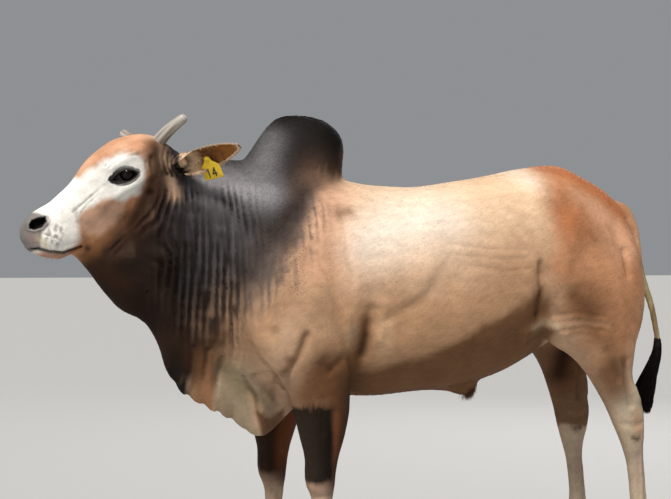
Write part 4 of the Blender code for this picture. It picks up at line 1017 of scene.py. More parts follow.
# %% Marks on the body, on a side view
# Outlines in x and z, in mm: the colour, its strength, the softness of the edge and how far it wanders
BODY_PATCHES = metres((
    ("cream", 0.8, 90, 20, (
        (-100, 1320), (600, 1400), (620, 1200), (450, 1100), (250, 1040), (50, 1040), (-100, 1080))),
    # Tan low on the side and brown on the belly: the coat's own colour, deepened by painted shade towards the
    # belly.
    ("tan", 0.85, 100, 20, (
        (-120, 900), (80, 950), (250, 940), (400, 1000), (570, 1060), (620, 900), (600, 500),
        (-120, 500))),
    ("brown", 0.88, 17, 6, (
        (-50, 672), (165, 712), (340, 795), (480, 872), (585, 945), (640, 740),
        (400, 500), (-50, 500))),
    ("russet", 0.9, 60, 20, (
        (600, 1280), (720, 1360), (980, 1280), (1000, 1000), (930, 800), (880, 680), (780, 700),
        (680, 840), (630, 980))),
    ("warm grey", 0.55, 60, 20, (
        (-330, 930), (-240, 1000), (-190, 1080), (-160, 1160), (-90, 1260), (-180, 1300),
        (-360, 1100))),
    ("charcoal", 1.0, 26, 17, (
        (-585, 1370), (-640, 1215), (-668, 1120), (-700, 1060), (-830, 990), (-800, 800),
        (-650, 600), (-510, 560), (-495, 660), (-450, 740), (-400, 840), (-345, 930),
        (-275, 1000), (-235, 1070), (-205, 1140), (-150, 1220), (-85, 1295), (-20, 1300),
        (20, 1550), (-300, 1550), (-450, 1420))),
    ("orange brown", 0.85, 14, 6, (
        (-500, 740), (-440, 760), (-425, 640), (-425, 500), (-490, 520))),
    ("pale skin", 0.8, 10, 4, (
        (-430, 690), (-400, 700), (-360, 660), (-336, 620), (-271, 465), (-260, 420),
        (-430, 460))),
    # Brown under the ridge of the brisket's flap: painted shade on its underside.
    ("brown", 0.85, 8, 2, (
        (-300, 555), (-250, 530), (-205, 560), (-185, 440), (-265, 440))),
))
# Dabs in x and z, in mm: the colour, its strength, the radius of the bell and the path
BODY_DABS = metres((
    # White over the upper ribs: a painted highlight on the cream coat.
    ("white", 0.5, 100, ((20, 1100), (140, 1140), (260, 1150))),
    ("peach", 0.8, 85, ((-70, 1230), (-110, 1120), (-150, 1020))),
    ("cream", 0.22, 50, ((-250, 820), (-270, 770))),
    ("tan", 0.75, 60, ((-260, 900), (-300, 840), (-330, 780))),
    ("tan", 0.35, 60, ((-200, 1020), (-240, 960))),
    ("tan", 0.5, 70, ((-120, 960), (-140, 860), (-160, 780))),
    # White on the hip bone: a painted highlight.
    ("white", 0.28, 40, ((540, 1310), (575, 1280))),
    ("rust", 0.85, 34, ((630, 1335), (720, 1305), (800, 1260), (850, 1220), (910, 1170))),
    # Peach below the rust ridge of the croup: a painted highlight.
    ("peach", 0.45, 26, ((700, 1235), (780, 1200), (820, 1160))),
    ("rust", 0.38, 40, ((630, 1200), (665, 1140), (625, 1020))),
    ("cream", 0.35, 45, ((585, 1200), (600, 1080))),
    # Brown in the hollow in front of the stifle: painted shade.
    ("brown", 0.8, 42, ((690, 910), (745, 840))),
    ("brown", 0.4, 70, ((620, 860), (720, 840), (800, 820))),
    ("rust", 0.4, 50, ((660, 1160), (740, 1120))),
    ("brown", 0.35, 35, ((760, 1120), (800, 1080))),
    ("brown", 0.3, 24, ((900, 1000), (910, 940), (900, 840))),
    ("peach", 0.55, 36, ((870, 1130), (900, 1060))),
    ("brown", 0.42, 55, ((720, 960), (770, 920))),
    ("tan", 0.3, 65, ((260, 1070), (400, 1060), (520, 1060))),
    ("pale skin", 0.6, 13, ((566, 812), (600, 830), (640, 812))),
    ("pale skin", 0.14, 14, ((660, 826), (740, 830), (800, 820))),
    ("brown", 0.65, 17, ((-55, 1172), (-25, 1178))),
    ("dark brown", 0.6, 85, ((-620, 1000), (-580, 900), (-540, 800))),
    ("black", 0.8, 70, ((-560, 1000), (-520, 920), (-500, 820), (-530, 700))),
    # Dark brown under the head: the throat's darker coat with painted shade under the jaw.
    ("dark brown", 0.95, 110, ((-780, 1000), (-700, 930), (-660, 860), (-620, 820))),
    ("brown", 0.2, 30, ((-760, 1000), (-700, 960))),
    # Grey over the upper neck: a painted sheen highlight on the charcoal coat.
    ("grey", 0.9, 62, ((-440, 1270), (-360, 1250), (-280, 1230))),
    ("grey", 0.55, 45, ((-250, 1410), (-280, 1320))),
    ("grey", 0.12, 50, ((-420, 1140), (-360, 1100))),
    ("warm grey", 0.7, 55, ((-250, 1100), (-310, 1020))),
    ("warm grey", 0.55, 30, ((-120, 1260), (-170, 1190), (-210, 1120))),
    ("brown", 0.75, 55, ((-390, 890), (-430, 800), (-450, 720))),
    ("black", 0.75, 60, ((-40, 1420), (-20, 1350), (-60, 1310))),
    ("black", 0.4, 45, ((-210, 1170), (-260, 1120))),
    ("pale skin", 0.6, 22, ((-360, 690), (-300, 640), (-240, 580))),
    ("pale skin", 0.7, 14, ((-365, 678), (-300, 615), (-240, 545))),
    # Brown along the crease of the shoulder's fold: painted shade.
    ("brown", 0.5, 14, ((-185, 800), (-205, 730), (-243, 680))),
    ("brown", 0.55, 12, ((-280, 820), (-275, 820))),
    ("brown", 0.55, 14, ((-240, 730), (-230, 725))),
    # Brown and dark brown in the groove behind the elbow: painted shade.
    ("brown", 0.9, 22, ((14, 840), (8, 760), (-12, 675))),
    ("dark brown", 0.6, 12, ((16, 800), (10, 740))),
    ("pale skin", 0.5, 14, ((-30, 820), (-35, 785))),
    ("cream", 0.25, 26, ((70, 830), (75, 740))),
    ("dark brown", 0.95, 55, ((-775, 1085), (-740, 1075), (-700, 1100), (-665, 1140))),
    # Black under the head: the throat's darker coat with painted shade under the jaw.
    ("black", 0.6, 70, ((-710, 1000), (-660, 920), (-620, 860))),
    ("charcoal", 0.6, 36, ((-155, 1235), (-190, 1170), (-225, 1100))),
    ("warm grey", 0.65, 40, ((-280, 1010), (-330, 940), (-370, 900))),
    ("charcoal", 0.85, 48, ((-400, 940), (-425, 870), (-465, 810))),
    ("dark brown", 0.4, 40, ((-480, 790), (-505, 740))),
    # Olive on the pale flap of the brisket: painted shade of its folds.
    ("olive", 0.42, 28, ((-400, 690), (-360, 640), (-320, 590))),
    ("black", 0.5, 85, ((-200, 1470), (-120, 1450), (-60, 1400))),
    ("charcoal", 0.55, 28, ((-165, 1225), (-195, 1165))),
    ("fawn", 0.6, 20, ((-578, 1275), (-570, 1245), (-566, 1225))),
    ("rust", 0.25, 40, ((660, 1240), (700, 1180))),
    ("peach", 0.35, 50, ((790, 1160), (850, 1060))),
    ("brown", 0.3, 45, ((740, 910), (750, 880))),
    ("brown", 0.45, 34, ((760, 785), (800, 765))),
    ("brown", 0.45, 14, ((655, 812), (700, 802), (760, 795))),
))
# Dabs of the neck that show only in upright streaks, along the folds
NECK_STREAKS = metres((
    # Grey streaks down the neck: painted sheen on the charcoal coat along its folds.
    ("grey", 0.19, 110, ((-470, 1200), (-420, 1060), (-440, 940))),
    ("warm grey", 0.75, 50, ((-130, 1200), (-190, 1080), (-260, 980), (-330, 900))),
    ("tan", 0.45, 60, ((-440, 840), (-400, 900))),
))
# Dabs of the legs, with the far legs moved back over the near ones
LEG_DABS = metres((
    ("brown", 0.95, 70, ((-50, 720), (-120, 690), (-170, 610))),
    ("brown", 0.98, 60, ((-80, 660), (-80, 480), (-90, 360))),
    ("dark brown", 0.85, 55, ((-50, 620), (-60, 440), (-80, 340))),
    ("brown", 0.6, 50, ((-140, 660), (-100, 620))),
    ("rust", 0.14, 16, ((-75, 550), (-75, 420))),
    ("dark brown", 0.7, 20, ((-135, 720), (-115, 745))),
    ("pink", 0.35, 30, ((-130, 330), (-125, 290))),
    ("sock", 0.6, 60, ((-120, 260), (-120, 200))),
    ("tan", 0.6, 60, ((-130, 140), (-150, 80))),
    ("tan", 0.7, 60, ((760, 760), (810, 700), (840, 640))),
    ("brown", 0.88, 44, ((830, 690), (850, 630), (875, 575))),
    # Dark brown in the groove in front of the hock's tendon: painted shade.
    ("dark brown", 0.4, 9, ((872, 690), (890, 600), (900, 570))),
    ("brown", 0.55, 26, ((800, 660), (835, 600), (858, 560))),
    ("sock", 0.8, 30, ((920, 660), (930, 600), (930, 550))),
    ("sock", 0.9, 60, ((890, 540), (910, 460), (930, 360), (940, 220), (920, 100))),
    ("tan", 0.55, 20, ((920, 530), (925, 470))),
    ("pink", 0.3, 16, ((930, 420), (935, 300))),
    ("dark brown", 0.8, 7, ((905, 455), (918, 448), (928, 455))),
))
FOREARM_STAIN = metres((
    (-225, 572), (-150, 582), (-94, 572), (-86, 450), (-90, 350), (-130, 338),
    (-200, 345),
))


def body_colour(points):
    """Fawn all over, then the outlines, the dabs and the marks of the legs."""
    view = folded(points)[:, [0, 2]]
    colour = np.tile(np.array(HIDE_COLOURS["fawn"]), (len(points), 1))
    colour = dabbed(patched(colour, view, BODY_PATCHES, 10), view, BODY_DABS)
    streaks = ramp(-0.4, 1.0, wobble(view * (1.0, 0.06), 0.019, 44) + 0.4 * wobble(view, 0.05, 45))
    return leg_colour(points, dabbed(colour, view, NECK_STREAKS, streaks))


def leg_colour(points, colour):
    """Marks of the legs: the far ones have darker forearms and gaskins, and a white sock with a sharp top."""
    x, y, z = points.T
    far, fore = y > 0, x < 0.3
    view = leg_view(points)
    low = ramp(0.8, 0.7, z) * (np.abs(y) > 0.055)
    colour = dabbed(colour, view, LEG_DABS, low)
    colour = laid_on(colour, "black", 0.95 * low * patch(view, FOREARM_STAIN, 0.009, 0.0016, 31))
    colour = laid_on(colour, "dark brown", 0.8 * low * far * fore * ramp(0.27, 0.36, z))
    behind = ramp(-0.13, -0.09, view[:, 0])
    colour = laid_on(colour, "rust", 0.25 * low * far * fore * ramp(0.3, 0.4, z) * behind)
    gaskin = low * far * ~fore * ramp(0.458, 0.473, z + 0.012 * wobble(points, 0.05, 33))
    colour = laid_on(colour, "brown", 0.85 * gaskin)
    colour = laid_on(colour, "dark brown", 0.95 * gaskin * bell(view, ((0.795, 0.76), (0.805, 0.64)), 0.036))
    return colour


print("marks on the body:", len(BODY_PATCHES) + len(BODY_DABS) + len(LEG_DABS))

# %% Marks on the head and ears
NOSE_PAD = metres((
    (530, 30), (503, 35), (478, 30), (458, 14), (444, -10), (460, -34),
    (490, -40), (505, -55), (515, -75), (560, -80), (575, 20),
))
HEAD_PATCHES = metres((
    ("salmon", 0.95, 20, 6, (
        (335, 28), (306, 36), (285, 38), (222, 50), (173, 46), (125, 24),
        (105, -11), (85, -30), (-50, -30), (-50, 140), (335, 140))),
    ("white", 0.95, 13, 5, (
        (325, 52), (300, 34), (222, 38), (173, 34), (125, 14), (112, -11),
        (120, -50), (150, -80), (185, -99), (230, -92), (262, -60), (310, -56),
        (360, -54), (378, -75), (390, -105), (402, -128), (430, -137), (470, -125),
        (510, -100), (600, -50), (600, 120), (325, 120))),
    ("cheek", 0.85, 14, 6, (
        (360, -60), (312, -62), (270, -72), (235, -107), (256, -150), (303, -160),
        (354, -149), (385, -112), (378, -80))),
    # Brown and dark brown along the jaw's underside: painted shade under the jaw over the throat's darker coat.
    ("brown", 0.9, 14, 3, (
        (425, -160), (360, -154), (300, -143), (260, -131), (220, -121), (180, -106),
        (140, -86), (100, -100), (130, -220), (450, -240))),
    ("dark brown", 0.85, 14, 3, (
        (405, -182), (360, -176), (300, -163), (260, -150), (220, -139), (180, -124),
        (140, -104), (100, -110), (130, -220), (450, -240))),
))
HEAD_PATCHES += (("nose", 0.9, 0.006, 0.003, NOSE_PAD),)
# Dabs in the head's axes, in mm: the colour, its strength, the radius and the path
HEAD_DABS = metres((
    ("rust", 0.6, 24, ((110, -80, 20), (70, -85, -4))),
    ("rust", 0.35, 30, ((200, -30, 75), (120, -45, 60))),
    ("white", 0.55, 15, ((30, -65, 26), (8, -68, 6))),
    ("white", 0.5, 20, ((155, -95, 16), (185, -100, -70))),
    ("brown", 0.5, 12, ((292, -75, -95), (300, -75, -100))),
    ("brown", 0.55, 12, ((294, -72, -130), (310, -70, -134))),
    ("nose", 0.5, 9, ((368, -60, -40), (376, -62, -70))),
    ("nose", 0.45, 8, ((375, -62, -100), (372, -62, -112))),
    # Brown along the creases below the eye: painted shade in them.
    ("brown", 0.4, 4.5, ((262, -85, -21), (311, -68, -29), (351, -60, -35))),
    ("brown", 0.25, 4, ((285, -80, -36), (328, -66, -43), (356, -62, -54))),
    # Brown and dark brown along the jaw's lower edge and at the chin corner: painted shade under them.
    ("brown", 0.95, 34, ((385, -50, -180), (340, -60, -182), (270, -70, -165))),
    ("dark brown", 0.85, 32, ((300, -75, -175), (220, -90, -150), (160, -95, -115))),
    ("dark brown", 0.85, 11, ((430, -58, -148), (405, -55, -152), (395, -30, -160))),
    ("pink", 0.6, 13, ((512, -30, -108), (493, -36, -136), (466, -36, -148))),
    ("yellow", 0.8, 10, ((506, -52, -48), (500, -56, -64), (500, -56, -78))),
))
# Dark brown along the front of the mouth: painted shade in its crease.
HEAD_DABS += (("dark brown", 0.3, 0.005, MOUTH_FRONT),)
HEAD_DABS += metres((("pale skin", 0.75, 18, ((62, -105, -100), (42, -110, -130), (50, -105, -158))),))


def head_colour(points, colour):
    """The head's outlines and dabs over the body's colour, then the dark of the lids, nostrils and nose. The
    dark under the jaw, along the mouth and in the nostrils is painted shade.
    """
    local = folded(in_head(points))
    view = local[:, [0, 2]]
    beyond = outline_distance(view, HEAD_OUTLINE)
    ahead = ramp(0.016, -0.016, beyond + 0.005 * wobble(points, 0.04, 50)) * (local[:, 0] > -0.05)
    # Painted shade under the jaw: dark brown below it, strongest close to the head's outline.
    under = ramp(0.07, 0.0, beyond) * ramp(-0.05, -0.12, local[:, 2]) * (local[:, 0] > 0.06)
    colour = laid_on(colour, "dark brown", 0.96 * under)
    face = np.tile(np.array(HIDE_COLOURS["russet"]), (len(points), 1))
    face = dabbed(patched(face, view, HEAD_PATCHES, 60), local, HEAD_DABS)
    specks = ramp(0.05, 0.4, wobble(points, 0.013, 80))
    side_of_nose = ((0.485, -0.06, -0.04), (0.47, -0.066, -0.085), (0.44, -0.066, -0.06))
    specks = specks * bell(local, side_of_nose, 0.02)
    face = laid_on(face, "nose", 0.8 * specks)
    pad = ramp(0.0, 0.5, wobble(points, 0.03, 81))
    pad = pad * bell(local, ((0.535, 0.0, -0.02), (0.52, -0.035, -0.04)), 0.022)
    face = laid_on(face, "pink", 0.5 * pad)
    colour = colour + (face - colour) * ahead[:, None]
    behind = ((0.05, -0.1, 0.0), (0.075, -0.1, -0.035), (0.098, -0.1, -0.075), (0.14, -0.095, -0.123))
    colour = laid_on(colour, "dark brown", 0.95 * bell(local, behind, 0.036))
    # Dark brown along the mouth line: painted shade in its crease.
    colour = laid_on(colour, "dark brown", 0.9 * np.exp(-((mouth_distance(local) / 0.005) ** 2)))
    gap, across = slit_distance(local)
    outer = local[:, 1] < -0.05
    # Black round the eye: the dark lid skin and lashes, widened above the eye by painted shade under the brow.
    rim = gap - 0.004 * (across > 0) - 0.004 * ramp(0.19, 0.24, local[:, 0])
    colour = laid_on(colour, "black", 0.97 * outer * ramp(0.0095, 0.0045, rim))
    corner = bell(local, ((0.222, -0.095, -0.024), (0.242, -0.09, -0.018), (0.256, -0.086, -0.02)), 0.0055)
    colour = laid_on(colour, "black", 0.9 * corner)
    # Black inside the nostrils: painted shade of their depth.
    return laid_on(colour, "black", ramp(0.0025, -0.002, nostril_distance(local)))


def ear_colour(points, normals, colour):
    """A charcoal stalk, cream outside and round the rim, amber towards the tip of the cup, and brown deep in
    the cup as painted shade.
    """
    local = folded(in_head(points))
    for side in (NEAR, FAR):
        share, off = along_ear(points, side)
        off = np.linalg.norm(off, axis=1)
        on_ear = ramp(0.06, 0.05, off) * ramp(-0.25, -0.1, share) * (share < 1.2)
        on_ear = on_ear * (points[:, 1] * side > 0.05)
        stalk = ramp(0.036, 0.03, off) * ramp(-0.105, -0.115, local[:, 1])
        on_ear = on_ear * np.maximum(ramp(0.1, 0.18, share), stalk)
        hollow = ramp(0.05, 0.45, normals @ ear_axes(side)[2]) * ramp(0.26, 0.4, share)
        ear = np.tile(np.array(HIDE_COLOURS["cream"]), (len(points), 1))
        ear = laid_on(ear, "charcoal", ramp(0.08, 0.0, share))
        ear = laid_on(ear, "amber", 0.97 * hollow)
        # Brown deep in the cup: painted shade.
        ear = laid_on(ear, "brown", 0.85 * hollow * ramp(0.6, 0.36, share))
        colour = colour + (ear - colour) * on_ear[:, None]
    return colour


def coat_colour(points, normals):
    """The colour of the coat anywhere on the bull: body, then head, then ears, all a little uneven."""
    colour = ear_colour(points, normals, head_colour(points, body_colour(points)))
    x, y, z = points.T
    tail = (x > 0.93) * ramp(1.06, 0.96, z) * (np.abs(y + 0.03) < 0.06) * (z > 0.45)
    tail = tail * ramp(0.04, 0.03, distance(points, tail_line(np.arange(2.0, 8.0, 0.5))[:, :3]))
    colour = laid_on(colour, "olive", 0.85 * tail)
    stripe = tail * ramp(0.1, 0.5, wobble(points * (1.0, 1.0, 0.15), 0.03, 88))
    colour = laid_on(colour, "brown", 0.55 * stripe)
    uneven = 1 + 0.08 * wobble(points, 0.11, 90) + 0.06 * wobble(points, 0.035, 91)
    return np.clip(colour * uneven[:, None], 0, 1)


print("marks on the head:", len(HEAD_PATCHES) + len(HEAD_DABS))

# %% [markdown]
# ## Finishes
# The short coat is too fine to model hair by hair, so its hairs are a bump: a noise drawn out along the lie
# of the coat. Skin, tufts and tail use the same effect, so it is one node group with named sockets, and each
# material sets its own values. The markings come in as a colour attribute on the points.

# %% Node helpers, short hair and bare skin
def add_node(tree, kind, settings=None, **inputs):
    """A shader node with its settings and its inputs, each a value or another node's output. An input named
    by a letter and a number is the one with that number, and a colour gets a fourth number, which is 1."""
    made = tree.nodes.new("ShaderNode" + kind)
    for key, value in (settings or {}).items():
        setattr(made, key, value)
    for key, value in inputs.items():
        socket = made.inputs[int(key[1:])] if key[1:].isdigit() else made.inputs[key.replace("_", " ")]
        if isinstance(value, bpy.types.NodeSocket):
            tree.links.new(value, socket)
        else:
            socket.default_value = (*value, 1.0) if socket.type == "RGBA" else value
    return made


def mixed(tree, share, first, second):
    """A colour between two others by a share."""
    return add_node(tree, "Mix", {"data_type": "RGBA"}, a0=share, a6=first, a7=second).outputs[2]


def chosen(tree, share, first, second):
    """A number between two others by a share."""
    return add_node(tree, "Mix", {"data_type": "FLOAT"}, a0=share, a2=first, a3=second).outputs[0]


def ranged(tree, value, low, high, first=0.0, last=1.0):
    """A value moved from the range low to high to the range first to last, and held inside it."""
    return add_node(tree, "MapRange", {}, Value=value, From_Min=low, From_Max=high, To_Min=first,
                    To_Max=last).outputs["Result"]


def noise(tree, vector, scale, detail, rough=0.5):
    """A noise between 0 and 1 with a mean of one half."""
    return add_node(tree, "TexNoise", {}, Vector=vector, Scale=scale, Detail=detail,
                    Roughness=rough).outputs["Fac"]


def attribute(tree, name, output="Vector"):
    """What is stored on the points under a name."""
    return add_node(tree, "Attribute", {"attribute_name": name}).outputs[output]


def new_group(name, outputs):
    """An empty node group with a vector going in and numbers coming out, and its two end nodes."""
    group = bpy.data.node_groups.new(name, "ShaderNodeTree")
    group.interface.new_socket("Vector", in_out="INPUT", socket_type="NodeSocketVector")
    for label in outputs:
        group.interface.new_socket(label, in_out="OUTPUT", socket_type="NodeSocketFloat")
    return group, group.nodes.new("NodeGroupInput").outputs["Vector"], group.nodes.new("NodeGroupOutput")


def drawn_out_noise(tree, vector, scale, stretch):
    """Noise that is longer along some axes: the place is divided by stretch first."""
    lie = add_node(tree, "Mapping", {"vector_type": "TEXTURE"}, Vector=vector, Scale=stretch)
    return noise(tree, lie.outputs["Vector"], scale, 2.0)


def short_hair_group():
    """Hairs as a noise that is fine across the lie of the coat and long along it, over broader clumps."""
    group, place, outs = new_group("short_hair", ("Height", "Shade"))
    tilted = add_node(group, "Mapping", {}, Vector=place, Rotation=(0.0, 0.55, 0.0)).outputs["Vector"]
    hairs = drawn_out_noise(group, tilted, 700.0, (5.0, 1.0, 1.4))
    clumps = drawn_out_noise(group, tilted, 120.0, (4.0, 1.0, 1.4))
    both = add_node(group, "Math", {"operation": "MULTIPLY_ADD"}, a0=clumps, a1=0.7, a2=hairs)
    both = both.outputs["Value"]
    group.links.new(both, outs.inputs["Height"])
    group.links.new(ranged(group, both, 0.5, 1.2, 0.8, 1.16), outs.inputs["Shade"])
    return group


def bare_skin_group():
    """Bare skin: a net of small cells, as on a nose pad, with the cell edges low."""
    group, place, outs = new_group("bare_skin", ("Height",))
    cells = add_node(group, "TexVoronoi", {"feature": "DISTANCE_TO_EDGE"}, Vector=place, Scale=260.0)
    group.links.new(ranged(group, cells.outputs["Distance"], 0.0, 0.25), outs.inputs["Height"])
    return group


short_hair = short_hair_group()
bare_skin = bare_skin_group()


def blank_material(name):
    """A material with its node tree, its Principled shader and the place on the object."""
    made = bpy.data.materials.new(name)
    made.use_nodes = True
    tree = made.node_tree
    place = tree.nodes.new("ShaderNodeTexCoord")
    return made, tree, tree.nodes["Principled BSDF"], place.outputs["Object"]


def finished(tree, shader, colour, height, strength, depth):
    """Gives a shader its colour and a bump."""
    bump = add_node(tree, "Bump", {}, Height=height, Strength=strength, Distance=depth)
    tree.links.new(colour, shader.inputs["Base Color"])
    tree.links.new(bump.outputs["Normal"], shader.inputs["Normal"])


def coat_material(name, rough, hair_depth):
    """Hair or skin that takes its colour from the coat attribute; bare says where hair gives way to skin."""
    made, tree, shader, place = blank_material(name)
    bare = attribute(tree, "bare", "Fac")
    hair = add_node(tree, "Group", {"node_tree": short_hair}, Vector=place)
    net = add_node(tree, "Group", {"node_tree": bare_skin}, Vector=place)
    shade = chosen(tree, bare, hair.outputs["Shade"], 1.0)
    coat = attribute(tree, "coat", "Color")
    tint = add_node(tree, "VectorMath", {"operation": "SCALE"}, a0=coat, Scale=shade)
    height = chosen(tree, bare, hair.outputs["Height"], net.outputs["Height"])
    finished(tree, shader, tint.outputs["Vector"], height, 0.7, hair_depth)
    tree.links.new(ranged(tree, bare, 0.0, 1.0, rough, 0.45), shader.inputs["Roughness"])
    shader.inputs["Specular IOR Level"].default_value = 0.07
    return made


hide_finish = coat_material("short_coat", 0.62, 0.0009)
tuft_finish = coat_material("tufts", 0.6, 0.0004)
switch_finish = coat_material("tail_hair", 0.38, 0.0003)
print("finishes:", hide_finish.name, tuft_finish.name, switch_finish.name)

# %% Putting colours on points, and settling a piece in place
LAYERS = {1: ("FLOAT", "value"), 3: ("FLOAT_VECTOR", "vector"), 4: ("FLOAT_COLOR", "color")}


def store(obj, name, values):
    """A number, a vector or a colour for every point of a mesh."""
    values = np.asarray(values, np.float32)
    kind, key = LAYERS[1 if values.ndim == 1 else values.shape[1]]
    layer = obj.data.attributes.new(name, kind, "POINT")
    layer.data.foreach_set(key, values.ravel())


def store_colour(obj, colour):
    """The coat attribute, with no value so low that it would look like a hole."""
    store(obj, "coat", np.column_stack([np.clip(colour, 0.002, 1), np.ones(len(colour))]))


def settle(obj, slot, nodes, finish):
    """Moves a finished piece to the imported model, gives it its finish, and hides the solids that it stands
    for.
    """
    write_points(obj, read_points(obj) + shift)
    obj.data.materials.clear()
    obj.data.materials.append(finish)
    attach(obj, "root")
    if nodes:
        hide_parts(*nodes)
    print(obj.name, "triangles:", triangles(obj))


def hollows(obj, points, normals):
    """How sharply the skin bends inwards at each point: how far the point lies below the middle of its
    neighbours, in millimetres, over the square of their distance, eased a little."""
    edges = edges_of(obj)
    ends, others = np.r_[edges[:, 0], edges[:, 1]], np.r_[edges[:, 1], edges[:, 0]]
    degree = np.maximum(np.bincount(ends, minlength=len(points)), 1)
    total = [np.bincount(ends, points[others, k], len(points)) for k in range(3)]
    deep = np.sum((np.stack(total, axis=1) / degree[:, None] - points) * normals, axis=1) * 1000
    reach = np.linalg.norm(points[ends] - points[others], axis=1) * 1000
    reach = np.bincount(ends, reach, len(points)) / degree
    deep = deep / np.maximum(reach, 0.5) ** 2
    for _ in range(2):
        deep = 0.5 * deep + 0.5 * np.bincount(ends, deep[others], len(points)) / degree
    return deep


points, normals = read_points(skin), read_points(skin, "normal")
colour = coat_colour(points, normals)
deep = hollows(skin, points, normals)
loose = ramp(-0.2, -0.32, points[:, 0])
# Painted shade and highlight: darker in the hollows of the skin, most on the loose neck, and lighter on its
# ridges.
darker = (0.16 + 0.42 * loose) * ramp(0.003, 0.04, deep)
colour = colour * (1 - darker + (0.08 + 0.2 * loose) * ramp(-0.004, -0.04, deep))[:, None]
local = folded(in_head(points))
lids = ramp(0.012, 0.004, slit_distance(local)[0]) * (local[:, 1] < -0.05)
store_colour(skin, colour)
store(skin, "bare", np.maximum(patch(local[:, [0, 2]], NOSE_PAD, 0.006), lids))
skin_colour = np.clip(colour, 0.002, 1)
print("deepest and highest bend:", deep.max().round(3), deep.min().round(3))

# %% [markdown]
# ## Tufts of hair
# Where hair stands off the body it shows against the light: along the back, round the ears, under the throat
# and above the hooves. Hair particles would be the usual way, but a tuft that is a real closed blade keeps
# its shape anywhere. Roots are spread by area over the skin, and each blade leans along the lie of the coat.

# %% Blades along many paths at once
# A blade across: three corners in half widths, flatter than wide
BLADE_CORNERS = np.array(((-1.0, -0.2), (1.0, -0.2), (0.0, 0.4)))
PATCH_SIZE = 0.003
TIP_LIGHT = 1.12


def blades(paths, widths):
    """Closed three-sided blades: paths has a row of points for each, from root to tip, and each blade narrows
    towards its tip as the square root of what is left of it."""
    count, steps, _ = paths.shape
    ahead = np.gradient(paths, axis=1)
    ahead /= np.linalg.norm(ahead, axis=2, keepdims=True) + 1e-12
    across = np.cross(ahead[:, :1], (0.31, 0.87, 0.38))
    across = across / (np.linalg.norm(across, axis=2, keepdims=True) + 1e-12)
    up = np.cross(ahead, across)
    size = widths[:, None] * np.sqrt(1 - np.arange(steps - 1) / (steps - 1))
    corner = BLADE_CORNERS[:, 0, None] * across[:, :1, None] + 0 * up[:, :-1, None]
    corner = corner + BLADE_CORNERS[:, 1, None] * up[:, :-1, None]
    rings = paths[:, :-1, None] + size[..., None, None] * corner
    points = np.concatenate([rings.reshape(count, -1, 3), paths[:, -1:]], axis=1)
    each = points.shape[1]
    faces = [(0, 2, 1)]
    for k in range(steps - 2):
        for j in range(3):
            a, b = 3 * k + j, 3 * k + (j + 1) % 3
            faces += [(a, b, b + 3), (a, b + 3, a + 3)]
    last = 3 * (steps - 2)
    faces += [(last + j, last + (j + 1) % 3, each - 1) for j in range(3)]
    tris = np.array(faces)[None] + each * np.arange(count)[:, None, None]
    share = np.append(np.repeat(np.arange(steps - 1), 3), steps - 1) / (steps - 1)
    spread = np.append(np.tile((0.0, 1.0, 0.5), steps - 1), 0.5)
    return points.reshape(-1, 3), tris.reshape(-1, 3), np.stack([spread, share], axis=1)


def hair_piece(name, paths, widths, colours, slot, finish, nodes=()):
    """One mesh of blades with its colours, its flat map, and its place on the body."""
    points, tris, patch_uv = blades(paths, widths)
    mesh = bpy.data.meshes.new(name)
    mesh.vertices.add(len(points))
    mesh.vertices.foreach_set("co", points.astype(np.float32).ravel())
    mesh.loops.add(tris.size)
    mesh.loops.foreach_set("vertex_index", tris.astype(np.int32).ravel())
    mesh.polygons.add(len(tris))
    mesh.polygons.foreach_set("loop_start", np.arange(0, tris.size, 3, dtype=np.int32))
    mesh.update(calc_edges=True)
    mesh.shade_smooth()
    flat = mesh.uv_layers.new(name="OFBake")
    uv = unwrapped(paths[:, 0])[:, None] + PATCH_SIZE * patch_uv[None]
    flat.data.foreach_set("uv", uv.reshape(-1, 2)[tris.ravel()].astype(np.float32).ravel())
    obj = bpy.data.objects.new(name, mesh)
    bpy.context.scene.collection.objects.link(obj)
    light = 1 + (TIP_LIGHT - 1) * patch_uv[:, 1]
    store_colour(obj, (colours[:, None] * light[None, :, None]).reshape(-1, 3))
    settle(obj, slot, nodes, finish)


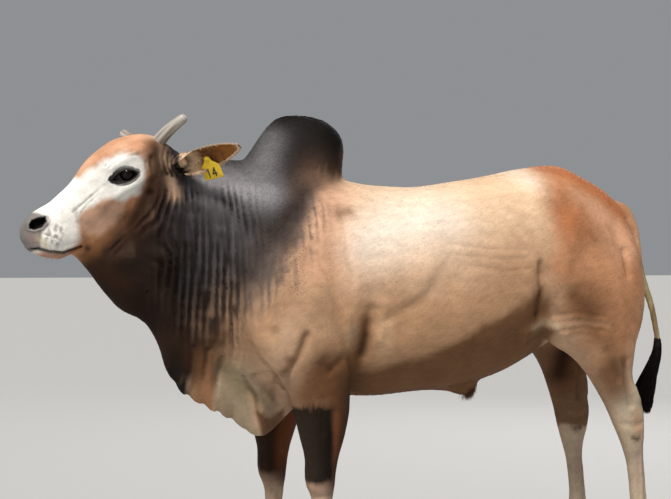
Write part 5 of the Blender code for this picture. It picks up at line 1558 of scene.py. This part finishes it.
def unwrapped(points):
    """Place on a flat unwrap of the skin: trunk, head, legs, ears and tail are each a tube rolled out on a
    rectangle of their own, along it one way and round it the other."""
    x, y, z = points.T
    s, side, h = in_head(points).T

    def tube(along, right, up, u, v, wide, tall):
        turn = np.arctan2(right, up) / (2 * math.pi) + 0.5
        return np.stack([u + wide * turn, v + tall * np.clip(along, 0, 1)], axis=1)

    above = z - np.interp(x, (-0.7, 0.0, 0.9), (1.12, 0.95, 1.02))
    flat = tube((x + 1) / 2.1, y, above, 0.01, 0.01, 0.55, 0.97)
    flat = np.where(in_face(points)[:, None], tube(s / 0.58, side, h + 0.06, 0.58, 0.58, 0.4, 0.41), flat)
    view = leg_view(points)
    leg = (z < 0.76) & (np.abs(y) > 0.085)
    for k, (fore, far) in enumerate(((True, False), (True, True), (False, False), (False, True))):
        own = leg & ((x < 0.3) == fore) & ((y > 0) == far)
        middle = np.interp(z, (0.06, 0.3, 0.7), (-0.16, -0.12, -0.14) if fore else (0.9, 0.94, 0.82))
        roll = tube(z / 0.78, view[:, 0] - middle, np.abs(y) - 0.157, 0.58 + 0.1 * k, 0.01, 0.09, 0.4)
        flat = np.where(own[:, None], roll, flat)
    for k, end in enumerate((NEAR, FAR)):
        _, _, facing, across = ear_axes(end)
        share, off = along_ear(points, end)
        own = (np.linalg.norm(off, axis=1) < 0.06) & (share > 0.1) & (share < 1.3) & (y * end > 0.1)
        roll = tube(share / 1.3, off @ across, off @ facing - 0.02, 0.58 + 0.14 * k, 0.43, 0.13, 0.13)
        flat = np.where(own[:, None], roll, flat)
    own = (x > 0.965) & (z < 1.15) & (np.abs(y + 0.03) < 0.1)
    line = tail_line(np.arange(0, 8.01, 0.25))
    tail_x = np.interp(z, line[::-1, 2], line[::-1, 0])
    return np.where(own[:, None], tube((z - 0.5) / 0.7, y + 0.04, x - tail_x, 0.87, 0.43, 0.11, 0.13), flat)


print("a short blade has", len(blades(np.zeros((1, 3, 3)), np.ones(1))[1]), "triangles")

# %% Where tufts grow and how they lie
skin.data.calc_loop_triangles()
skin_tris = np.empty(len(skin.data.loop_triangles) * 3, np.int32)
skin.data.loop_triangles.foreach_get("vertices", skin_tris)
skin_tris = skin_tris.reshape(-1, 3)
skin_points, skin_normals = read_points(skin), read_points(skin, "normal")


def roots(weight, count, seed):
    """Roots spread over the skin in step with area times weight, with normals and colours taken from it."""
    draw = np.random.default_rng(seed)
    a, b, c = (skin_points[skin_tris[:, k]] for k in range(3))
    area = np.linalg.norm(np.cross(b - a, c - a), axis=1) * weight[skin_tris].mean(1)
    total = np.cumsum(area)
    pick = np.searchsorted(total, (np.arange(count) + draw.uniform(size=count)) / count * total[-1])
    u, v = draw.uniform(size=(2, count))
    over = u + v > 1
    u, v = np.where(over, 1 - u, u), np.where(over, 1 - v, v)
    mix = np.stack([1 - u - v, u, v], axis=1)[..., None]
    corners = skin_tris[np.minimum(pick, len(skin_tris) - 1)]
    normal = (skin_normals[corners] * mix).sum(1)
    normal /= np.linalg.norm(normal, axis=1, keepdims=True)
    colour = (skin_colour[corners] * mix).sum(1) * draw.uniform(0.88, 1.12, (count, 1))
    return (skin_points[corners] * mix).sum(1), normal, colour, draw


def lie_of_coat(points):
    """Which way hair points before it is laid down: back along the body, down the legs and up the face."""
    x, y, z = points.T
    flow = np.stack([np.ones(len(x)), 0 * x, -0.3 - 0.6 * ramp(0.95, 0.65, z)], axis=1)
    neck = ramp(-0.25, -0.4, x)[:, None]
    flow = flow + neck * ((0.75, 0.0, -0.75) - flow)
    limb = (ramp(0.78, 0.7, z) * (np.abs(y) > 0.08))[:, None]
    flow = flow + limb * ((0.1, 0.0, -1.0) - flow)
    face = ramp(-0.01, 0.03, in_head(points)[:, 0])[:, None]
    flow = flow + face * (head_axes @ (-1.0, 0.0, -0.25) - flow)
    hanging = ((x > 0.96) & (z < 1.14))[:, None]
    return np.where(hanging, (0.05, 0.0, -1.0), flow)


def laid_down(root, normal, flow, length, lift, steps):
    """Paths of blades: along the skin by the flow, off it by lift times length, and bent back towards it."""
    flat = flow - normal * np.sum(flow * normal, axis=1, keepdims=True)
    flat /= np.linalg.norm(flat, axis=1, keepdims=True) + 1e-9
    share = np.linspace(0, 1, steps)[None, :, None]
    length, lift = length[:, None, None], lift[:, None, None]
    rise = length * lift * (share - 0.35 * share**2)
    return (root - 0.0007 * normal)[:, None] + flat[:, None] * length * share + normal[:, None] * rise


def coat_length(points):
    """How long the hair is: shortest on face and legs, longer on poll, hump, belly, throat and coronets."""
    x, y, z = points.T
    local = folded(in_head(points))
    length = 0.0095 + 0.004 * ramp(0.75, 0.62, z) * (np.abs(y) < 0.12)
    length += 0.006 * bell(points, ((-0.25, 0.0, 1.5), (-0.08, 0.0, 1.48)), 0.06)
    length += 0.005 * (x < -0.15) * ramp(0.035, 0.01, np.abs(y)) * ramp(1.1, 0.95, z)
    limb = (z < 0.74) & (np.abs(y) > 0.085)
    length = np.where(limb, 0.0075 + 0.006 * ramp(0.1, 0.06, z), length)
    face = 0.0058 - 0.002 * ramp(0.35, 0.48, local[:, 0])
    face += 0.01 * bell(local, ((0.0, 0.0, 0.02), (0.05, 0.0, 0.035)), 0.04)
    return np.where(local[:, 0] > 0, face, length)


x, y, z = skin_points.T
local = folded(in_head(skin_points))
bare_places = (nostril_distance(local) < 0.004) | (slit_distance(local)[0] < 0.006) & (local[:, 1] < -0.05)
bare_places |= patch(local[:, [0, 2]], NOSE_PAD, 0.006) > 0.3
haired = np.where(bare_places, 0.0, 1.0)
face = ramp(-0.03, 0.0, local[:, 0])
limb = ramp(0.78, 0.72, z) * ramp(0.06, 0.09, np.abs(y)) * (1 - face)
neck = ramp(-0.16, -0.24, x) * (1 - face) * (1 - limb)
REGIONS = {
    "coat_head": (face, 19000, 0.0005, "hide"),
    "coat_neck": (neck, 19000, 0.00075, "dark_hide"),
    "coat_trunk": ((1 - face) * (1 - limb) * (1 - neck), 19500, 0.00085, "hide"),
    "coat_legs": (limb * (1 + 1.5 * ramp(0.12, 0.06, z)), 17000, 0.0007, "hide"),
}
for seed, (name, (weight, count, width, slot)) in enumerate(REGIONS.items()):
    root, normal, colour, draw = roots(weight * haired, count, 100 + seed)
    flow = lie_of_coat(root) + draw.normal(0, 0.16, root.shape)
    length = coat_length(root) * draw.uniform(0.7, 1.25, count)
    paths = laid_down(root, normal, flow, length, draw.uniform(0.06, 0.24, count), 3)
    hair_piece(name, paths, width * draw.uniform(0.75, 1.25, count), colour, slot, tuft_finish)

# %% Long hair of ears, lids, coronets, muzzle and sheath
def ear_hair(side, draw):
    """Hairs along both rims of an ear and out of its cup."""
    start, lean, facing, across = ear_axes(side)
    rows = smooth_rows(EAR_ROWS, 0.02)
    lean_way = lean / np.linalg.norm(lean)
    groups = []
    for count, inside, long, spread in ((700, 0.0, 0.008, 0.22), (420, 1.0, 0.018, 0.35)):
        share = draw.uniform(0.12, 0.995 if inside == 0 else 0.7, count)
        radius, half = (np.interp(share, rows[:, 0], rows[:, k]) for k in (1, 2))
        sweep = np.sign(draw.uniform(-1, 1, count)) if inside == 0 else draw.uniform(-0.9, 0.9, count)
        angle = np.radians(half) * sweep
        wall = facing * (1 - np.cos(angle))[:, None] + across * np.sin(angle)[:, None]
        root = start + lean * share[:, None] + radius[:, None] * wall
        out = facing * (0.3 + 0.9 * inside - np.cos(angle) * (1 - inside))[:, None]
        out = across * np.sin(angle)[:, None] + out
        way = lean_way * 0.8 + out * (0.9 - 0.3 * inside) + draw.normal(0, spread, (count, 3))
        way /= np.linalg.norm(way, axis=1, keepdims=True)
        length = long * draw.uniform(0.6, 1.2, count)
        share_on = np.linspace(0, 1, 4)[None, :, None]
        drop = np.array((0.0, 0.0, -0.25)) * length[:, None, None] * share_on**2
        paths = root[:, None] + way[:, None] * length[:, None, None] * share_on + drop
        pale = np.array(HIDE_COLOURS["cream"]) * draw.uniform(0.75, 1.1, (count, 1))
        deep = np.array(HIDE_COLOURS["orange brown"]) * draw.uniform(0.5, 1.2, (count, 1))
        groups.append((paths, np.full(count, 0.00045), pale if inside == 0 else 0.12 * pale + 0.88 * deep))
    return groups


def grown(weight, count, seed, way, length, width, steps=4, tint=None):
    """Hairs from a small region of the skin that all point one way, more or less."""
    root, normal, colour, draw = roots(weight, count, seed)
    flow = np.asarray(way) + 0.35 * normal + draw.normal(0, 0.15, root.shape)
    flow /= np.linalg.norm(flow, axis=1, keepdims=True)
    share = np.linspace(0, 1, steps)[None, :, None]
    long = (length * draw.uniform(0.6, 1.15, count))[:, None, None]
    paths = root[:, None] + flow[:, None] * long * share + np.array((0.0, 0.0, -0.22)) * long * share**2
    if tint:
        colour = np.array(HIDE_COLOURS[tint]) * draw.uniform(0.7, 1.3, (count, 1))
    return paths, np.full(count, width), colour


draw = np.random.default_rng(7)
long_hair = [group for side in (NEAR, FAR) for group in ear_hair(side, draw)]
gap, across = slit_distance(local)
upper_lid = ((gap > 0.0005) & (gap < 0.0035) & (across > 0) & (local[:, 1] < -0.05)).astype(float)
lower_lid = ((gap > 0.0005) & (gap < 0.003) & (across < 0) & (local[:, 1] < -0.05)).astype(float)
muzzle = bell(local, ((0.47, -0.06, -0.09), (0.5, -0.04, -0.13)), 0.03) * haired
coronet = ((z < 0.062) & (np.abs(y) > 0.08)).astype(float)
tip_of_sheath = bell(skin_points, ((0.425, 0.0, 0.592),), 0.018)
for end in (NEAR, FAR):
    half = (in_head(skin_points)[:, 1] * end > 0).astype(float)
    outwards = head_axes @ (-0.25, 0.75 * end, 0.1)
    long_hair.append(grown(upper_lid * half, 130, 20 + end, outwards, 0.015, 0.00038, tint="black"))
    long_hair.append(grown(lower_lid * half, 60, 30 + end, outwards, 0.007, 0.0003, tint="black"))
long_hair.append(grown(muzzle, 130, 40, head_axes @ (0.35, 0.0, -0.3), 0.013, 0.00028, tint="bone"))
long_hair.append(grown(coronet, 3000, 41, (-0.1, 0.0, -1.0), 0.017, 0.0006, steps=3))
long_hair.append(grown(tip_of_sheath, 260, 42, (-0.35, 0.0, -0.9), 0.022, 0.0005, tint="brown"))
for number, batch in enumerate((long_hair[:4], long_hair[4:-2], long_hair[-2:-1], long_hair[-1:])):
    label = ("hair_of_ears", "lashes_and_bristles", "hair_of_coronets", "hair_of_sheath")[number]
    paths, widths, colours = (np.concatenate([group[k] for group in batch]) for k in range(3))
    hair_piece(label, paths, widths, colours, "hide", tuft_finish)

# %% Switch of the tail
SWITCH_STRANDS = 2700
SWITCH_FLARE = 0.009
SWITCH_SWEEP = 0.046


def switch_paths(count, draw, steps=7):
    """Strands that leave the lower tail all round, swell out from it and hang to a loose point."""
    start = 4.75 + 2.35 * draw.uniform(size=count) ** 1.15
    end = np.minimum(start + draw.uniform(0.9, 2.6, count), draw.uniform(7.2, 8.05, count))
    share = np.linspace(0, 1, steps)
    places = start[:, None] + (end - start)[:, None] * share
    line = tail_line(places.ravel()).reshape(count, steps, 4)
    turn = draw.uniform(0, 2 * math.pi, count)
    outward = np.stack([np.cos(turn), np.sin(turn), 0 * turn], axis=1)
    flare = SWITCH_FLARE * np.sqrt(draw.uniform(0.02, 1, count))[:, None]
    lift = line[..., 3] * 0.72 + flare * np.interp(share, (0, 0.3, 0.65, 1.0), (0.0, 0.6, 0.85, 0.25))
    wave = 0.004 * np.sin(7 * share[None] + draw.uniform(0, 6.3, (count, 1))) * share
    aside = np.stack([-np.sin(turn), np.cos(turn), 0 * turn], axis=1)
    sweep = SWITCH_SWEEP * draw.uniform(0, 1, (count, 1))
    sweep = sweep * np.interp(places, (4.9, 5.8, 6.8, 8.0), (0.0, 0.35, 1.0, 0.2))
    swept = np.stack([-sweep, 0.25 * sweep, 0 * sweep], axis=2)
    return line[..., :3] + outward[:, None] * lift[..., None] + aside[:, None] * wave[..., None] + swept


draw = np.random.default_rng(8)
paths = switch_paths(SWITCH_STRANDS, draw)
tone = draw.uniform(0.6, 1.9, (SWITCH_STRANDS, 1))
colours = np.array(HIDE_COLOURS["black"]) * tone
hair_piece("switch_of_tail", paths, draw.uniform(0.0007, 0.0012, SWITCH_STRANDS), colours, "switch_hair",
           switch_finish, ["tail_switch"])

# %% [markdown]
# ## Eyes, horns, hooves and the tag
# These are hard and separate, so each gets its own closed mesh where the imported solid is. Their finish reads
# a vector that is laid along the piece, because grain follows a horn's curve and a pupil lies across the eye.

# %% Eyes with a cornea and a level pupil
def joined(name, shapes):
    """One mesh object from several closed shapes."""
    return as_mesh(name, gathered(shapes))


def eye_shape(side, rings=30, sides=44):
    """An eyeball as rings round its line of sight; the cornea bulges in front by a bell curve. Also gives the
    directions along that line, across it and up it."""
    sight = head_axes @ (0.16, side * 0.98, -0.1)
    sight /= np.linalg.norm(sight)
    level = head_axes @ (math.cos(SLIT_TILT), 0.0, math.sin(SLIT_TILT))
    level -= sight * (level @ sight)
    level /= np.linalg.norm(level)
    rise = np.cross(sight, level) * (1 if np.cross(sight, level)[2] > 0 else -1)
    lean = np.linspace(0.06, math.pi - 0.06, rings)[:, None]
    turn = np.arange(sides)[None] * 2 * math.pi / sides
    radius = EYE_RADIUS * (1 + 0.05 * np.exp(-((lean / 0.5) ** 2)))
    across, up, out = np.sin(lean) * np.cos(turn), np.sin(lean) * np.sin(turn), np.cos(lean) + 0 * turn
    place = across[..., None] * level + up[..., None] * rise + out[..., None] * sight
    return on_head(EYE_AT * (1, side, 1)) + radius[..., None] * place, (sight, level, rise)


def eye_material():
    """Dark brown iris with fine rays, a long level pupil and a dim white, under a clear wet coat."""
    made, tree, shader, _ = blank_material("wet_eye")
    gaze = attribute(tree, "gaze")
    flat, pupil = (add_node(tree, "VectorMath", {"operation": "MULTIPLY"}, a0=gaze, a1=size).outputs["Vector"]
                   for size in ((1.0, 1.0, 0.0), (2.9, 6.2, 0.0)))
    away, across = (add_node(tree, "VectorMath", {"operation": "LENGTH"}, a0=place).outputs["Value"]
                    for place in (flat, pupil))
    iris = mixed(tree, noise(tree, flat, 14.0, 3.0), (0.003, 0.0018, 0.0012), (0.009, 0.005, 0.003))
    ball = mixed(tree, ranged(tree, away, 0.6, 0.72), iris, (0.006, 0.005, 0.004))
    whole = mixed(tree, ranged(tree, across, 1.0, 1.15), (0.002, 0.002, 0.003), ball)
    tree.links.new(whole, shader.inputs["Base Color"])
    shader.inputs["Roughness"].default_value = 0.1
    shader.inputs["Specular IOR Level"].default_value = 0.05
    shader.inputs["Coat Weight"].default_value = 0.22
    shader.inputs["Coat Roughness"].default_value = 0.02
    return made


wet_eye = eye_material()
for side, word in ((NEAR, "left"), (FAR, "right")):
    rings, (sight, level, rise) = eye_shape(side)
    eye = joined("eyeball_" + word, [closed_loft(rings)])
    off = (read_points(eye) - on_head(EYE_AT * (1, side, 1))) / EYE_RADIUS
    store(eye, "gaze", np.stack([off @ level, off @ rise, off @ sight], axis=1))
    settle(eye, "eye", ["eye_" + word], wet_eye)

# %% Horns and hooves
HORNS = {
    "left": ((-0.622, -0.04, 1.366), (-0.602, -0.083, 1.414), (-0.54, -0.106, 1.46)),
    "right": ((-0.628, 0.045, 1.38), (-0.67, 0.095, 1.408), (-0.69, 0.128, 1.425)),
}
HORN_BASE, HORN_TIP = 0.0255, 0.0158
CLAW_SPREAD = 0.0235


def horn_shape(base, middle, tip):
    """A bent cone with a round end: a cubic curve from base to tip, and growth rings as a ripple near the
    base. Also gives each point a place in the grain, drawn out along the horn."""
    share = np.linspace(0, 1, 64)[:, None]
    start, bend, end = (np.array(point) for point in (base, middle, tip))
    line = (1 - share) ** 3 * start + 3 * share * (1 - share) ** 2 * start
    line = line + 3 * share**2 * (1 - share) * bend + share**3 * end
    length = np.linalg.norm(end - bend) + np.linalg.norm(bend - start)
    share = share[:, 0]
    radii = HORN_BASE + (HORN_TIP - HORN_BASE) * share**1.2
    radii = radii + 0.0007 * np.sin(2 * math.pi * share * length / 0.008) * ramp(0.8, 0.2, share)
    ahead = (line[-1] - line[-2]) / np.linalg.norm(line[-1] - line[-2])
    cap = np.sin(np.linspace(0.1, 1.45, 12))
    line = np.vstack([line, line[-1] + 0.9 * HORN_TIP * cap[:, None] * ahead])
    radii = np.append(radii, HORN_TIP * np.sqrt(1 - cap**2))
    rings = tube_rings(line, radii, 40)
    angle = np.arange(40) * 2 * math.pi / 40
    run = np.append(share * length, length + 0.9 * HORN_TIP * cap)
    grain = np.stack([radii[:, None] * np.cos(angle), radii[:, None] * np.sin(angle),
                      0.12 * run[:, None] + 0 * angle], axis=2)
    return rings, grain


def horn_material(name, colours, scale, rough):
    """Horn: streaks along the grain between three colours, and a fine ridged bump."""
    made, tree, shader, _ = blank_material(name)
    grain = attribute(tree, "grain")
    streaks = noise(tree, grain, scale, 4.0, 0.65)
    pale = mixed(tree, ranged(tree, streaks, 0.38, 0.62), colours[0], colours[1])
    blotches = ranged(tree, noise(tree, grain, scale * 0.22, 2.0), 0.46, 0.64)
    finished(tree, shader, mixed(tree, blotches, pale, colours[2]), streaks, 0.6, 0.0006)
    shader.inputs["Roughness"].default_value = rough
    return made


HORN_COLOURS = ((0.36, 0.33, 0.29), (0.52, 0.48, 0.42), (0.2, 0.15, 0.115))
HOOF_COLOURS = ((0.075, 0.06, 0.05), (0.16, 0.13, 0.105), (0.03, 0.025, 0.022))
horn_finish = horn_material("horn", HORN_COLOURS, 260.0, 0.48)
hoof_finish = horn_material("hoof", HOOF_COLOURS, 180.0, 0.42)
for word, (base, middle, tip) in HORNS.items():
    rings, grain = horn_shape(base, middle, tip)
    horn = joined("horn_with_rings_" + word, [closed_loft(rings)])
    ends = np.array([grain[0].mean(0), grain[-1].mean(0)])
    store(horn, "grain", np.vstack([grain.reshape(-1, 3), ends]))
    settle(horn, "horn", ["horn_" + word], horn_finish)


def claw_shape(x, y, toe_in):
    """One claw from its flat sole to the coronet: level rings, longest at the toe, with growth rings."""
    rows = ((0.0, x - 0.02, y + toe_in, 0.0545, 0.0195), (0.003, x - 0.021, y + toe_in, 0.0575, 0.0212),
            (0.008, x - 0.0205, y + toe_in, 0.0575, 0.0215),
            (0.03, x - 0.01, y + toe_in * 0.5, 0.05, 0.021),
            (HOOF_TOP - 0.004, x - 0.001, y, 0.0415, 0.0195), (HOOF_TOP, x, y, 0.038, 0.0175))
    rings = level_rings(rows, 2.5, 44, 0.0016)
    middle = rings.mean(1, keepdims=True)
    height = rings[:, :, 2:]
    ripple = 0.014 * np.sin(2 * math.pi * height / 0.0085) * ramp(0.002, 0.01, height)
    return middle + (rings - middle) * (1 + ripple * (1, 1, 0))


def dewclaw_shape(x, y):
    """A blunt little horn behind the fetlock, bent down."""
    share = np.linspace(0, 1, 14)
    knots = np.linspace(0, 1, 4)
    bend = np.array(((0.0, 0.0, 0.004), (0.018, 0.0, -0.002), (0.028, 0.0, -0.012), (0.032, 0.0, -0.022)))
    line = np.stack([np.interp(share, knots, bend[:, k]) for k in range(3)], axis=1)
    radii = np.interp(share, (0, 0.33, 0.66, 0.9, 1.0), (0.012, 0.0125, 0.0105, 0.0065, 0.003))
    return tube_rings(np.array((x, y, 0.137)) + line, radii, 20)


shapes, nodes = [], []
for leg, table in (("foreleg", FORE_LEG), ("hindleg", HIND_LEG)):
    for side, word in ((NEAR, "left"), (FAR, "right")):
        rows = leg_rows(table, side)
        _, x, y, _, _ = rows[-2]
        fetlock = rows[np.argmin(np.abs(rows[:, 0] - 0.142))]
        for label, way in (("outer", 1), ("inner", -1)):
            offset = way * math.copysign(CLAW_SPREAD, y)
            shapes.append(closed_loft(claw_shape(x, y + offset, -0.06 * offset)))
            shapes.append(closed_loft(dewclaw_shape(fetlock[1] + 0.018, y + offset * 0.85)))
            nodes += [f"{leg}_{word}_claw_{label}", f"{leg}_{word}_dewclaw_{label}"]
hooves = joined("hooves_and_dewclaws", shapes)
points = read_points(hooves)
store(hooves, "grain", np.stack([points[:, 0] * 0.35, points[:, 1] * 0.35, points[:, 2] * 1.4], axis=1))
settle(hooves, "hoof", nodes, hoof_finish)

# %% Ear tag with its stud, button and number
TAG_SHARE, TAG_ANGLE = 0.47, math.radians(15.0)
TAG_WIDTH, TAG_HEIGHT, TAG_THICK, TAG_LIFT = 0.034, 0.066, 0.0022, 0.0155
TAG_OUTLINE = ((0.3, -0.1), (0.36, 0.12), (0.95, 0.36), (1.0, 0.45), (1.0, 0.95), (0.93, 1.0))
BUTTON_LIFT = -0.0068
# Strokes of a plain number: two ends and the place of each on the plate, in metres right and down
NUMBER_STROKES = (
    ((-0.011, 0.0325), (-0.011, 0.0575)), ((-0.016, 0.0375), (-0.011, 0.0325)),
    ((0.0125, 0.0325), (0.0125, 0.0575)), ((0.0125, 0.0325), (0.003, 0.05)),
    ((0.003, 0.05), (0.017, 0.05)),
)
start, lean, facing, across = ear_axes(NEAR)
rows = smooth_rows(EAR_ROWS, 0.1)
cup = float(np.interp(TAG_SHARE, rows[:, 0], rows[:, 1]))
tag_face = facing * math.cos(TAG_ANGLE) - across * math.sin(TAG_ANGLE)
tag_down = across * math.cos(TAG_ANGLE) + facing * math.sin(TAG_ANGLE)
tag_right = np.cross(tag_face, tag_down)
tag_hole = start + lean * TAG_SHARE
tag_hole = tag_hole + cup * (facing * (1 - math.cos(TAG_ANGLE)) + across * math.sin(TAG_ANGLE))


def on_tag(places):
    """Places right, down and off the tag, with its soft plate curled back a little towards its sides."""
    right, down, off = np.moveaxis(np.asarray(places, float), -1, 0)
    off = off - 2.6 * right**2 * (off > 0)
    return tag_hole + right[..., None] * tag_right + down[..., None] * tag_down + off[..., None] * tag_face


def turned(profile, sides=28):
    """A round piece on the tag's hole: rings from pairs of height off the plate and radius."""
    angle = np.arange(sides) * 2 * math.pi / sides
    return closed_loft(on_tag([[(r * math.cos(a), r * math.sin(a), h) for a in angle] for h, r in profile]))


outline = np.array([(x * TAG_WIDTH, y * TAG_HEIGHT) for x, y in TAG_OUTLINE])
outline = np.vstack([outline, outline[::-1] * (-1, 1)])
for _ in range(3):
    after = np.roll(outline, -1, axis=0)
    outline = np.stack([0.8 * outline + 0.2 * after, 0.2 * outline + 0.8 * after], axis=1).reshape(-1, 2)
middle = outline.mean(0)
layers = []
for off, inset in ((0.0, 0.0008), (0.0005, 0.0), (TAG_THICK - 0.0005, 0.0), (TAG_THICK, 0.0008)):
    away = outline - middle
    away = away * (1 - inset / np.linalg.norm(away, axis=1, keepdims=True))
    layers.append(on_tag(np.column_stack([middle + away, np.full(len(away), TAG_LIFT + off)])))
front = TAG_LIFT + TAG_THICK
stud = turned(((-0.0062, 0.003), (TAG_LIFT, 0.003), (front, 0.0085), (front + 0.0008, 0.0088),
               (front + 0.0016, 0.008), (front + 0.002, 0.005), (front + 0.0036, 0.004),
               (front + 0.0042, 0.0022)))
button = turned(((BUTTON_LIFT, 0.0118), (BUTTON_LIFT - 0.0008, 0.013), (BUTTON_LIFT - 0.0022, 0.0126),
                 (BUTTON_LIFT - 0.0032, 0.01), (BUTTON_LIFT - 0.0036, 0.004)))


def stroke_shape(start, end, half=0.0017):
    """A flat bar with square ends, a little proud of the plate."""
    start, end = np.array(start), np.array(end)
    ahead = (end - start) / np.linalg.norm(end - start)
    side = np.array((-ahead[1], ahead[0])) * half
    corners = np.array([start - ahead * half + side, end + ahead * half + side,
                        end + ahead * half - side, start - ahead * half - side])
    low, high = (np.column_stack([corners, np.full(4, front + lift)]) for lift in (-0.0004, 0.00025))
    return closed_loft([on_tag(low), on_tag(high)])


def plastic_material(name, colour, worn, rough):
    """Soft moulded plastic: a faint mottle of grime and a fine pebbled bump."""
    made, tree, shader, place = blank_material(name)
    grime = ranged(tree, noise(tree, place, 70.0, 4.0, 0.7), 0.48, 0.75)
    pebbles = noise(tree, place, 900.0, 1.0)
    finished(tree, shader, mixed(tree, grime, colour, worn), pebbles, 0.3, 0.0002)
    shader.inputs["Roughness"].default_value = rough
    return made


tag_finish = plastic_material("tag_plastic", (0.8, 0.52, 0.01), (0.55, 0.36, 0.03), 0.42)
ink_finish = plastic_material("tag_ink", (0.015, 0.014, 0.014), (0.05, 0.045, 0.03), 0.6)
settle(joined("tag_plate", [closed_loft(layers), stud]), "ear_tag", ["ear_tag"], tag_finish)
settle(joined("tag_button", [button]), "ear_tag", ["ear_tag_button"], tag_finish)
settle(joined("tag_number", [stroke_shape(*ends) for ends in NUMBER_STROKES]), "ear_tag", [], ink_finish)

# %% The skin takes its place last
FLESH = [name for name in frame["nodes"] if name.endswith(("_upper", "_lower")) or name.startswith("ear_")]
FLESH = [name for name in FLESH if "tag" not in name]
FLESH += ["head", "neck", "hump", "dewlap", "torso", "sheath", "scrotum", "tail_dock", "tail_middle"]
settle(skin, "hide", FLESH, hide_finish)
print("solids that the skin stands for:", len(FLESH))

# %% [markdown]
# ## Floor, light and camera
# A wide soft sun from the upper left shows the folds, and two large lamps open up the shadows. The camera is
# where the photographer stood: a little ahead of the left flank, level, about five and a half metres off.

# %% Floor, soft lights and the photographer's place
CAMERA_TURN = math.radians(-14.0)
CAMERA_AWAY = 5.5
CAMERA_HEIGHT = 1.06
FOCUS_PIXELS = 1719.0
PHOTO_WIDE = 671.0
SENSOR = 36.0


def aim(obj, target):
    """Turns a lamp or camera so that it looks at a target."""
    obj.rotation_mode = "QUATERNION"
    obj.rotation_quaternion = (Vector(target) - obj.location).to_track_quat("-Z", "Y")


def lamp(name, place, target, size, watts):
    """A square soft light that the camera doesn't see."""
    data = bpy.data.lights.new(name, "AREA")
    data.size = size
    data.energy = watts
    obj = bpy.data.objects.new(name, data)
    bpy.context.scene.collection.objects.link(obj)
    obj.location = place
    aim(obj, target)
    obj.visible_camera = False
    return obj


FLOOR_HALF = 60.0
FLOOR_COLOUR = (0.46, 0.46, 0.45, 1.0)
corners = FLOOR_HALF * np.array(((-1, -1, 0), (1, -1, 0), (1, 1, 0), (-1, 1, 0)))
floor = as_mesh("floor", (corners, np.array([[0, 1, 2, 3]]), np.zeros((0, 3), int)))
pale = bpy.data.materials.new("pale_floor")
pale.use_nodes = True
pale.node_tree.nodes["Principled BSDF"].inputs["Base Color"].default_value = FLOOR_COLOUR
pale.node_tree.nodes["Principled BSDF"].inputs["Roughness"].default_value = 0.8
floor.data.materials.append(pale)
floor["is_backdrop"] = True

sun_data = bpy.data.lights.new("soft_sun", "SUN")
sun_data.energy = 3.7
sun_data.angle = math.radians(14)
sun_data.color = (1.0, 0.965, 0.92)
sun = bpy.data.objects.new("soft_sun", sun_data)
bpy.context.scene.collection.objects.link(sun)
sun.location = (-3.0, -5.0, 9.0)
aim(sun, (0.0, 0.0, 0.0))
lamp("front_fill", (-4.5, -4.0, 1.8), (-0.4, 0.0, 1.0), 2.4, 26)
lamp("back_light", (3.0, 4.5, 3.6), (0.0, 0.0, 0.9), 3.0, 60)
world = bpy.data.worlds.new("studio")
bpy.context.scene.world = world
world.use_nodes = True
world.node_tree.nodes["Background"].inputs["Color"].default_value = (0.8, 0.83, 0.87, 1.0)
world.node_tree.nodes["Background"].inputs["Strength"].default_value = 0.34
bpy.context.scene.view_settings.view_transform = "Standard"

camera_data = bpy.data.cameras.new("photographer")
camera_data.sensor_width = SENSOR
camera_data.lens = FOCUS_PIXELS * SENSOR / PHOTO_WIDE
camera_data.shift_x = -9.5 / PHOTO_WIDE
camera = bpy.data.objects.new("photographer", camera_data)
bpy.context.scene.collection.objects.link(camera)
centre = Vector((shift[0], shift[1], CAMERA_HEIGHT))
camera.location = centre + Vector((math.sin(CAMERA_TURN), -math.cos(CAMERA_TURN), 0.0)) * CAMERA_AWAY
aim(camera, centre)
bpy.context.scene.camera = camera
print("camera at", [round(v, 2) for v in camera.location])

# %% The two boxes, and the end
dressed_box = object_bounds()
grown = np.array(dressed_box) - np.array(solid_box)
print("past the solids' box, in mm:", (1000 * grown).round(1).tolist())
